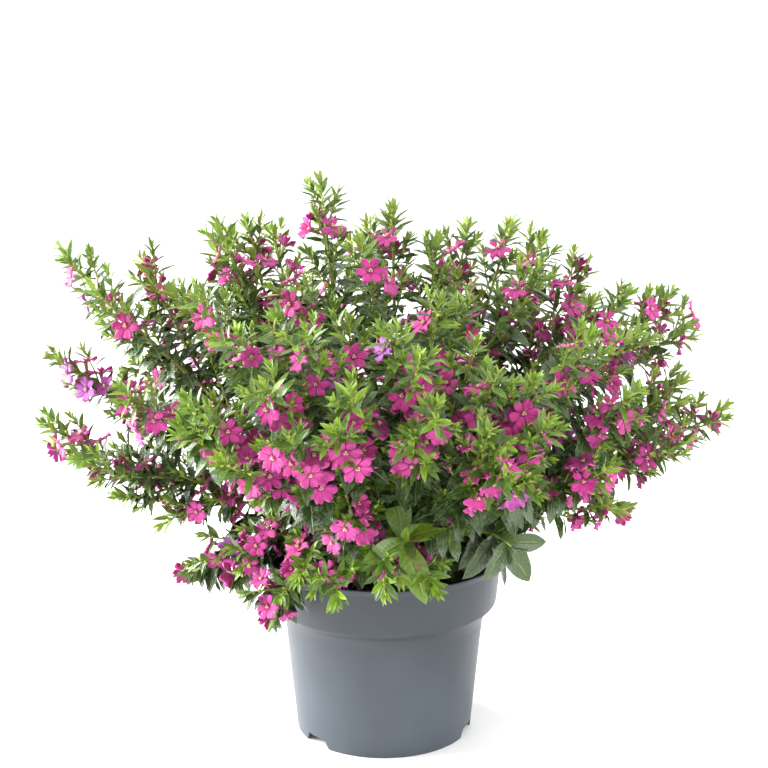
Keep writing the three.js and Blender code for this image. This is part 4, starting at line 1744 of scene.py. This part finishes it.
@dataclass
class Bush:
    """All the leafy, blooming stems. Lengths are millimetres."""

    plan: BushPlan = field(default_factory=BushPlan)
    leader_radius: tuple[float, float] = (1.9, 0.55)
    fork_radius: tuple[float, float] = (1.1, 0.5)
    twig_radius: tuple[float, float] = (0.6, 0.35)
    leafy_share: float = 0.84
    twig_distances: tuple[float, ...] = (17, 23, 30, 38, 47, 57, 68, 80, 93, 107, 121)
    fork_twig_count: int = 6
    twig_share: float = 0.75
    twig_lengths: tuple[float, float] = (13, 21)
    twig_growth: float = 0.12
    shoot_extra_blooms: int = 4
    first_extra_bloom: float = 24
    extra_bloom_step: float = 9
    low_tip_z: float = 100
    low_bloom_distances: tuple[float, ...] = (3, 8, 14)
    twig_bloom: float = 14
    twig_bloom_share: float = 0.45
    sparse_z: tuple[float, float] = (165, 245)
    sparse_share: float = 0.15
    leafy_corner: tuple[float, float] = (-55, 155)
    leafy_corner_share: float = 0.5
    bloom_turns: int = 8
    extra_bloom_room: float = 9.5
    bloom_radius: float = 5.5
    bloom_depth: float = 2.5
    broad_lengths: tuple[float, ...] = (12, 25, 33, 33, 28, 24)
    broad_spreads: tuple[float, ...] = (30, 60, 72, 76, 78, 80)
    rosette_room: float = 19
    rosette_heart: float = 15
    swings: int = 3
    pair_places: tuple[float, float, float] = (0.8, 1.6, 0.15)
    broad_pair_step: float = 1.8
    leaf_lengths: tuple[float, float] = (6, 8)
    leaf_growth: float = 0.075
    leaf_length_span: float = 9
    leaf_spreads: tuple[float, float] = (14, 66)
    leaf_spread_span: float = 11
    young_until: float = 0.2
    grown_until: float = 0.6
    age_scatter: tuple[float, float] = (-0.04, 0.08)
    spread_scatter: float = 0.16
    turn_scatter: float = 0.3
    size_scatter: tuple[float, float] = (0.85, 1.15)
    face_lift: float = 0.6
    face_out: float = 0.6
    face_scatter: float = 1.5
    leaf_samples: tuple[float, ...] = (0.35, 0.7, 1.0)
    swing_out: float = 0.6
    bud_pairs: tuple[int, int] = (2, 6)
    bud_share: float = 0.3
    bud_turn: float = 0.5
    bud_sizes: tuple[float, float] = (1.6, 2.6)
    bud_lean: float = 0.8
    bud_stand: float = 0.6
    bud_ages: tuple[float, float] = (0.0, 0.5)
    twig_lean: tuple[float, float, float, float] = (0.8, 0.7, 0.6, 0.15)
    twig_handle: float = 0.3
    twig_divisions: int = 16
    twig_place_scatter: float = 2
    twig_turn: float = 2.4
    twig_turn_scatter: float = 0.4
    bloom_place_scatter: float = 3
    bloom_leafy_share: float = 0.8
    bloom_lean: tuple[float, float, float] = (0.2, 0.7, 0.12)
    calyx_scatter: tuple[float, float] = (0.8, 1.1)
    calyx_ages: tuple[float, float] = (0.4, 1.0)
    open_share: float = 0.5
    spread_share: float = 0.35
    fresh_ages: tuple[float, float] = (0, 0.12)
    aged_share: float = 0.08
    aged_ages: tuple[float, float] = (0.5, 1.0)
    bloom_tilt: float = 0.3
    bloom_sizes: tuple[float, float] = (0.9, 1.16)
    leader_ages: tuple[float, float] = (1.0, 0.0)
    fork_ages: tuple[float, float] = (0.45, 0.0)
    twig_ages: tuple[float, float] = (0.25, 0.0)
    dressing_seed: int = 1000
    planning_seed: int = 2000
    rosettes: list[Vector] = field(default_factory=list)
    bloom_facings: list[Vector] = field(default_factory=list)
    bloom_tree: kdtree.KDTree | None = None
    pot_clear_radius: float = 67.5
    pot_inner_radius: float = 57
    pot_clear_z: float = 101
    soil_clear_z: float = 90

    def __post_init__(self) -> None:
        """Builds the templates and the finishes."""
        self.leaves = {age: form.template() for age, form in LEAF_FORMS.items()}
        self.corollas = {stage: form.template() for stage, form in BLOOM_FORMS.items()}
        self.tubes = {fitting: form.template() for fitting, form in TUBE_FORMS.items()}
        finishes = (LeafBlade(), LEAF_UNDERSIDE, StemBark(), BudSkin())
        self.leaf_finishes = [finish.material() for finish in finishes]
        self.bloom_finishes = [finish.material() for finish in (Petal(), Anther())]

    def pair_distance(self, pair: int) -> float:
        """Returns how far from the tip a pair of leaves stands."""
        first, step, widening = self.pair_places
        return first + step * pair + widening * pair * pair

    def leaf_length(self, distance: float) -> float:
        """Gives the length of a leaf.

        Args:
            distance: how far from the tip it stands.

        Returns:
            Its length.
        """
        shortest, growth = self.leaf_lengths
        grown = 1 - math.exp(-distance / self.leaf_length_span)
        return shortest + growth * grown + self.leaf_growth * distance

    def leaf_spread(self, distance: float) -> float:
        """Returns the angle between a shoot and its leaf at that distance from the tip."""
        return math.radians(between(*self.leaf_spreads, 1 - math.exp(-distance / self.leaf_spread_span)))

    def habit_of(self, shoot: Shoot, line: ShootLine) -> Habit:
        """Returns how the leaves of a leader or a fork grow."""
        if shoot.broad:
            return MATURE_ROSETTE if shoot.mature else ROSETTE
        return LOW_LEADER if line.points[3].z < self.low_tip_z else LEADER

    def leaf_form(self, age: float) -> LeafAge:
        """Returns the form of a leaf of that age."""
        if age < self.young_until:
            return LeafAge.YOUNG
        return LeafAge.GROWN if age < self.grown_until else LeafAge.OLD

    def hits_pot(self, point: Vector) -> bool:
        """Says whether a point is in the pot's wall or in the potting mix.

        Args:
            point: the point.

        Returns:
            True where it is.
        """
        radius = math.hypot(point.x, point.y)
        if radius > self.pot_clear_radius or point.z > self.pot_clear_z:
            return False
        return radius > self.pot_inner_radius or point.z < self.soil_clear_z

    def hits_bloom(self, point: Vector) -> bool:
        """Says whether a point is among a bloom's petals.

        Args:
            point: the point.

        Returns:
            True where it is.
        """
        centre, index, distance = self.bloom_tree.find(point)
        if distance > self.bloom_radius:
            return False
        return abs((point - centre).dot(self.bloom_facings[index])) < self.bloom_depth

    def is_near_rosette(self, point: Vector, room: float) -> bool:
        """Returns whether a point is within that room of the heart of a broad-leaved rosette."""
        return any((point - heart).length < room for heart in self.rosettes)

    def is_blocked(self, point: Vector) -> bool:
        """Returns whether the pot or a rosette leaves no room for a twig or a bloom at a point."""
        return self.hits_pot(point) or self.is_near_rosette(point, self.rosette_room)

    def is_crowded(self, samples: list[Vector]) -> bool:
        """Returns whether a small leaf's samples are among petals, or its tip in a rosette."""
        return any(self.hits_bloom(sample) for sample in samples) or self.is_near_rosette(
            samples[-1], self.rosette_heart
        )

    def add_leaf(
        self, gathering: Gathering, station: Station, turn: float, leaf: Leaf, stream: RandomStream
    ) -> None:
        """Adds one leaf, unless it would stand in the pot or in a bloom.

        Args:
            gathering: the stem's mesh.
            station: where it grows.
            turn: its turn round the shoot.
            leaf: what leaf it is.
            stream: random numbers.
        """
        spread = leaf.spread + stream.draw_around(self.spread_scatter)
        turn += stream.draw_around(self.turn_scatter)
        length = leaf.length * stream.draw_between(*self.size_scatter)
        own = stream.draw()
        ahead = station.outwards(turn) * math.sin(spread) + station.along * math.cos(spread)
        ahead = (ahead - Z_UP * leaf.hang).normalized()
        sunny = station.along + Z_UP * self.face_lift + self.plan.from_crown(station.point) * self.face_out
        sunny += Vector([stream.draw() - 0.5 for _ in range(3)]) * self.face_scatter
        droop = LEAF_FORMS[leaf.form].droop
        away = (station.point * CROSSWISE).normalized()
        for _ in range(self.swings):
            upper = (sunny - ahead * sunny.dot(ahead)).normalized()
            samples = [
                station.point + ahead * (length * share) - upper * (length * droop * share * share)
                for share in self.leaf_samples
            ]
            if leaf.form != LeafAge.BROAD and self.is_crowded(samples):
                return
            if not any(self.hits_pot(sample) for sample in samples):
                place = placing(station.point, ahead.cross(upper), ahead, upper, length)
                gathering.place(self.leaves[leaf.form], place, clamp01(leaf.age), own)
                return
            ahead = (ahead + away * self.swing_out).normalized()

    def add_bud(
        self, gathering: Gathering, station: Station, turn: float, size: float, stream: RandomStream
    ) -> None:
        """Adds one bud in an axil.

        Args:
            gathering: the stem's mesh.
            station: where it grows.
            turn: its turn round the shoot.
            size: its length.
            stream: random numbers.
        """
        ahead = (station.outwards(turn) + station.along * self.bud_lean).normalized()
        across = ahead.orthogonal().normalized()
        root = station.point + ahead * self.bud_stand
        place = placing(root, across, ahead.cross(across), ahead, size)
        gathering.place(self.tubes[Fitting.BUD], place, stream.draw_between(*self.bud_ages), stream.draw())

    def dress_shoot(
        self, gathering: Gathering, line: ShootLine, phase: float, habit: Habit, stream: RandomStream
    ) -> None:
        """Puts leaves and buds on one shoot.

        Args:
            gathering: the stem's mesh.
            line: the shoot's line.
            phase: the turn of its first pair.
            habit: how its leaves grow.
            stream: random numbers.
        """
        pair, distance = 0, self.pair_distance(0)
        first_bud, last_bud = self.bud_pairs
        while distance < line.length * self.leafy_share:
            station = line.from_tip(distance)
            length, spread = self.leaf_length(distance) * habit.size, self.leaf_spread(distance)
            if habit.broad:
                last = min(pair, len(self.broad_lengths) - 1)
                length, spread = self.broad_lengths[last], math.radians(self.broad_spreads[last])
            hang = habit.hang * clamp01(distance / habit.hang_span)
            for face in (0.0, math.pi):
                turn = phase + pair * math.pi / 2 + face
                age = habit.first_age + distance / habit.span + stream.draw_between(*self.age_scatter)
                form = LeafAge.BROAD if habit.broad else self.leaf_form(age)
                self.add_leaf(gathering, station, turn, Leaf(form, length, spread, hang, age), stream)
                if first_bud <= pair <= last_bud and not habit.broad and stream.draw() < self.bud_share:
                    size = stream.draw_between(*self.bud_sizes)
                    self.add_bud(gathering, station, turn + self.bud_turn, size, stream)
            pair += 1
            distance = self.pair_distance(pair) * (self.broad_pair_step if habit.broad else 1)

    def twig_line(self, station: Station, turn: float, length: float) -> ShootLine:
        """Lays out a short side twig that curves up and out.

        Args:
            station: where it leaves its shoot.
            turn: its turn round the shoot.
            length: how long it is.

        Returns:
            The twig's line.
        """
        out, outer = station.outwards(turn), self.plan.from_crown(station.point)
        aside, along, away, up = self.twig_lean
        heading = (out * aside + station.along * along + outer * away + Z_UP * up).normalized()
        tip = station.point + heading * length
        handle = length * self.twig_handle
        start_handle = station.point + (out + station.along).normalized() * handle
        return ShootLine(station.point, start_handle, tip - heading * handle, tip, self.twig_divisions)

    def plan_twigs(self, stem: Stem, stream: RandomStream) -> None:
        """Lays out the side twigs in the axils of some of a stem's pairs.

        Args:
            stem: the stem, which gets them.
            stream: random numbers.
        """
        for order, (line, shoot, phase) in enumerate(zip(stem.lines, stem.shoots, stem.phases)):
            if shoot.broad:
                continue
            count = self.fork_twig_count if order else len(self.twig_distances)
            for number, distance in enumerate(self.twig_distances[:count]):
                if distance > line.length * self.twig_share:
                    break
                station = line.from_tip(distance + stream.draw_around(self.twig_place_scatter))
                turn = phase + number * self.twig_turn + stream.draw_around(self.twig_turn_scatter)
                length = stream.draw_between(*self.twig_lengths) + self.twig_growth * distance
                twig = self.twig_line(station, turn, length)
                if not self.is_blocked(twig.points[3]):
                    stem.twigs.append(Twig(twig, stream.draw_between(0, math.pi)))

    def bloom_places(self, stem: Stem, stream: RandomStream) -> list[tuple[ShootLine, float]]:
        """Lists where further blooms may stand on a stem.

        Args:
            stem: the stem.
            stream: random numbers.

        Returns:
            Lines, each with a distance from its tip.
        """
        places = []
        for line, shoot in zip(stem.lines, stem.shoots):
            if shoot.broad:
                continue
            steps = range(self.shoot_extra_blooms)
            places += [(line, self.first_extra_bloom + i * self.extra_bloom_step) for i in steps]
            if line.points[3].z < self.low_tip_z:
                places += [(line, distance) for distance in self.low_bloom_distances]
        blooming = [twig for twig in stem.twigs if stream.draw() < self.twig_bloom_share]
        return places + [(twig.line, self.twig_bloom) for twig in blooming]

    def bloom_share_at(self, point: Vector) -> float:
        """Gives the share of the further blooms at a point: fewer near the top and at the lower left.

        Args:
            point: the point.

        Returns:
            The share, from 0 to 1.
        """
        if point.x < self.leafy_corner[0] and point.z < self.leafy_corner[1]:
            return self.leafy_corner_share
        low, high = self.sparse_z
        return between(1, self.sparse_share, clamp01((point.z - low) / (high - low)))

    def plan_extra_blooms(self, stem: Stem, centres: list[Vector], stream: RandomStream) -> None:
        """Stands further blooms along a stem's shoots and twigs, as close together as they grow.

        Args:
            stem: the stem, which gets them.
            centres: the middles of all the earlier blooms, to which these are added.
            stream: random numbers.
        """
        along, out, up = self.bloom_lean
        for line, distance in self.bloom_places(stem, stream):
            distance += stream.draw_around(self.bloom_place_scatter)
            turn = stream.draw_between(0, FULL_TURN)
            station = line.from_tip(distance)
            is_bare = distance > line.length * self.bloom_leafy_share
            if is_bare or stream.draw() > self.bloom_share_at(station.point):
                continue
            calyx = self.plan.calyx_length * stream.draw_between(*self.calyx_scatter)
            outer = self.plan.from_crown(station.point) * out + station.along * along + Z_UP * up
            for attempt in range(self.bloom_turns):
                outwards = station.outwards(turn + attempt * FULL_TURN / self.bloom_turns)
                bloom = Bloom(station.point, (outwards + outer).normalized(), calyx)
                room = min(((other - bloom.centre).length for other in centres), default=math.inf)
                if room > self.extra_bloom_room and not self.is_blocked(bloom.centre):
                    stem.blooms.append(bloom)
                    centres.append(bloom.centre)
                    break

    def add_bloom(self, leaves: Gathering, petals: Gathering, bloom: Bloom, stream: RandomStream) -> None:
        """Adds one bloom on its calyx.

        Args:
            leaves: the stem's leafy mesh, which takes the calyx.
            petals: the stem's petal mesh.
            bloom: where it stands.
            stream: random numbers.
        """
        ahead = bloom.facing
        side = ahead.cross(Z_UP).normalized()
        upper = side.cross(ahead)
        leaves.place(
            self.tubes[Fitting.CALYX], placing(bloom.root, side, upper, ahead, bloom.calyx),
            stream.draw_between(*self.calyx_ages), stream.draw(),
        )
        stage, form = stream.draw(), BloomStage.HALF_OPEN
        if stage < self.open_share + self.spread_share:
            form = BloomStage.OPEN if stage < self.open_share else BloomStage.SPREAD
        ages = self.fresh_ages if stream.draw() > self.aged_share else self.aged_ages
        age = stream.draw_between(*ages)
        tilt = Matrix.Rotation(stream.draw_around(self.bloom_tilt), 4, "Z")
        size = stream.draw_between(*self.bloom_sizes)
        place = placing(bloom.centre, side, upper, ahead, size) @ tilt
        petals.place(self.corollas[form], place, age, stream.draw())

    def build_stem(self, stem: Stem, index: int) -> None:
        """Builds and dresses one stem's pieces.

        Args:
            stem: its plan.
            index: which stem it is, from 0.
        """
        stream = RandomStream(self.dressing_seed + index)
        leaves, petals = Gathering(), Gathering()
        for order, (line, shoot, phase) in enumerate(zip(stem.lines, stem.shoots, stem.phases)):
            radius = self.fork_radius if order else self.leader_radius
            ages = self.fork_ages if order else self.leader_ages
            leaves.lay(self.tubes[Fitting.MAIN_TUBE], line, radius, ages, stream.draw())
            self.dress_shoot(leaves, line, phase, self.habit_of(shoot, line), stream)
        for twig in stem.twigs:
            tube = self.tubes[Fitting.TWIG_TUBE]
            leaves.lay(tube, twig.line, self.twig_radius, self.twig_ages, stream.draw())
            is_low = twig.line.points[3].z < self.low_tip_z
            self.dress_shoot(leaves, twig.line, twig.phase, LOW_TWIG if is_low else TWIG, stream)
        for bloom in stem.blooms:
            self.add_bloom(leaves, petals, bloom, stream)
        finish_piece(f"{stem.name}_leaves", leaves.body, self.leaf_finishes, [stem.node])
        if stem.blooms:
            finish_piece(f"{stem.name}_blooms", petals.body, self.bloom_finishes, [stem.node])
        else:
            petals.body.free()

    def build(self) -> None:
        """Builds and dresses every stem."""
        stems = self.plan.grow()
        centres = [bloom.centre for stem in stems for bloom in stem.blooms]
        self.rosettes = [
            line.points[3] for stem in stems for line, shoot in zip(stem.lines, stem.shoots) if shoot.broad
        ]
        for index, stem in enumerate(stems):
            stream = RandomStream(self.planning_seed + index)
            self.plan_twigs(stem, stream)
            self.plan_extra_blooms(stem, centres, stream)
        blooms = [bloom for stem in stems for bloom in stem.blooms]
        LOG.info("%d blooms, %d twigs", len(blooms), sum(len(stem.twigs) for stem in stems))
        self.bloom_tree = kdtree.KDTree(len(blooms))
        for index, bloom in enumerate(blooms):
            self.bloom_tree.insert(bloom.centre, index)
        self.bloom_tree.balance()
        self.bloom_facings = [bloom.facing for bloom in blooms]
        for index, stem in enumerate(stems):
            self.build_stem(stem, index)


@dataclass
class Studio:
    """The pale floor, the soft lights and the camera. Lengths are metres."""

    lens: float = 80.8
    eye: tuple[float, float, float] = (0.0, -0.8837, 0.4089)
    target: tuple[float, float, float] = (0.0, 0.0, 0.1918)
    sensor_width: float = 36
    floor_size: float = 400.0
    floor_white: float = 0.94
    floor_roughness: float = 0.9
    floor_shine: float = 0.1
    sky_strength: float = 0.68
    softbox_target: tuple[float, float, float] = (0, 0, 0.08)
    softboxes: tuple[tuple[str, tuple[float, float, float], float, float], ...] = (
        ("left_box", (-1.2, 0.28, 0.3), 1.4, 102),
        ("right_box", (1.15, -0.6, 0.4), 1.0, 11),
    )
    suns: tuple[tuple[str, tuple[float, float, float], float, float], ...] = (
        ("key", (-1.4, -1.1, 2.1), 80, 1.65),
        ("fill", (1.8, -0.4, 1.6), 60, 1.2),
        ("back", (0.3, 1.8, 2.0), 60, 1.0),
    )

    def build(self) -> None:
        """Builds the studio."""
        self._floor()
        self._lights()
        self._camera()

    def _floor(self) -> None:
        """Lays the floor."""
        body = bmesh.new()
        bmesh.ops.create_grid(body, x_segments=1, y_segments=1, size=self.floor_size / 2)
        mesh = mesh_of(body, "floor")
        sheet = ShaderSheet("studio_floor")
        sheet.surface.inputs["Base Color"].default_value = (*(self.floor_white,) * 3, 1)
        sheet.surface.inputs["Roughness"].default_value = self.floor_roughness
        sheet.shine(self.floor_shine)
        mesh.materials.append(sheet.material)
        floor = add_object("floor", mesh)

    def _light(self, name: str, place: tuple[float, float, float], width: float, strength: float) -> None:
        """Hangs a far, soft light that lights the bush and the whole floor evenly.

        Args:
            name: its name.
            place: the direction that it shines from.
            width: how wide it looks, in degrees.
            strength: its strength.
        """
        data = bpy.data.lights.new(name, "SUN")
        data.energy, data.angle = strength, math.radians(width)
        aim(add_object(name, data), place, (0, 0, 0))

    def _softbox(self, name: str, place: tuple[float, float, float], size: float, power: float) -> None:
        """Stands a square softbox that faces the pot.

        Args:
            name: its name.
            place: where it stands.
            size: how wide it is.
            power: its power in watts.
        """
        data = bpy.data.lights.new(name, "AREA")
        data.energy, data.size = power, size
        aim(add_object(name, data), place, self.softbox_target)

    def _lights(self) -> None:
        """Hangs the lights and sets the pale surroundings."""
        world = bpy.data.worlds.new("studio")
        world.use_nodes = True
        background = world.node_tree.nodes["Background"]
        background.inputs["Color"].default_value = WHITE
        background.inputs["Strength"].default_value = self.sky_strength
        bpy.context.scene.world = world
        bpy.context.scene.view_settings.view_transform = "Standard"
        for softbox in self.softboxes:
            self._softbox(*softbox)
        for sun in self.suns:
            self._light(*sun)

    def _camera(self) -> None:
        """Places the camera where the photograph was taken from."""
        data = bpy.data.cameras.new("camera")
        data.lens = self.lens
        data.sensor_width = self.sensor_width
        camera = add_object("camera", data)
        aim(camera, self.eye, self.target)
        bpy.context.scene.camera = camera


def main() -> None:
    """Builds the pot, the potting mix, the bush and the studio."""
    logging.basicConfig(level=logging.INFO, format="%(message)s")
    Pot().build()
    Soil().build()
    Bush().build()
    Studio().build()


if __name__ == "__main__":
    main()
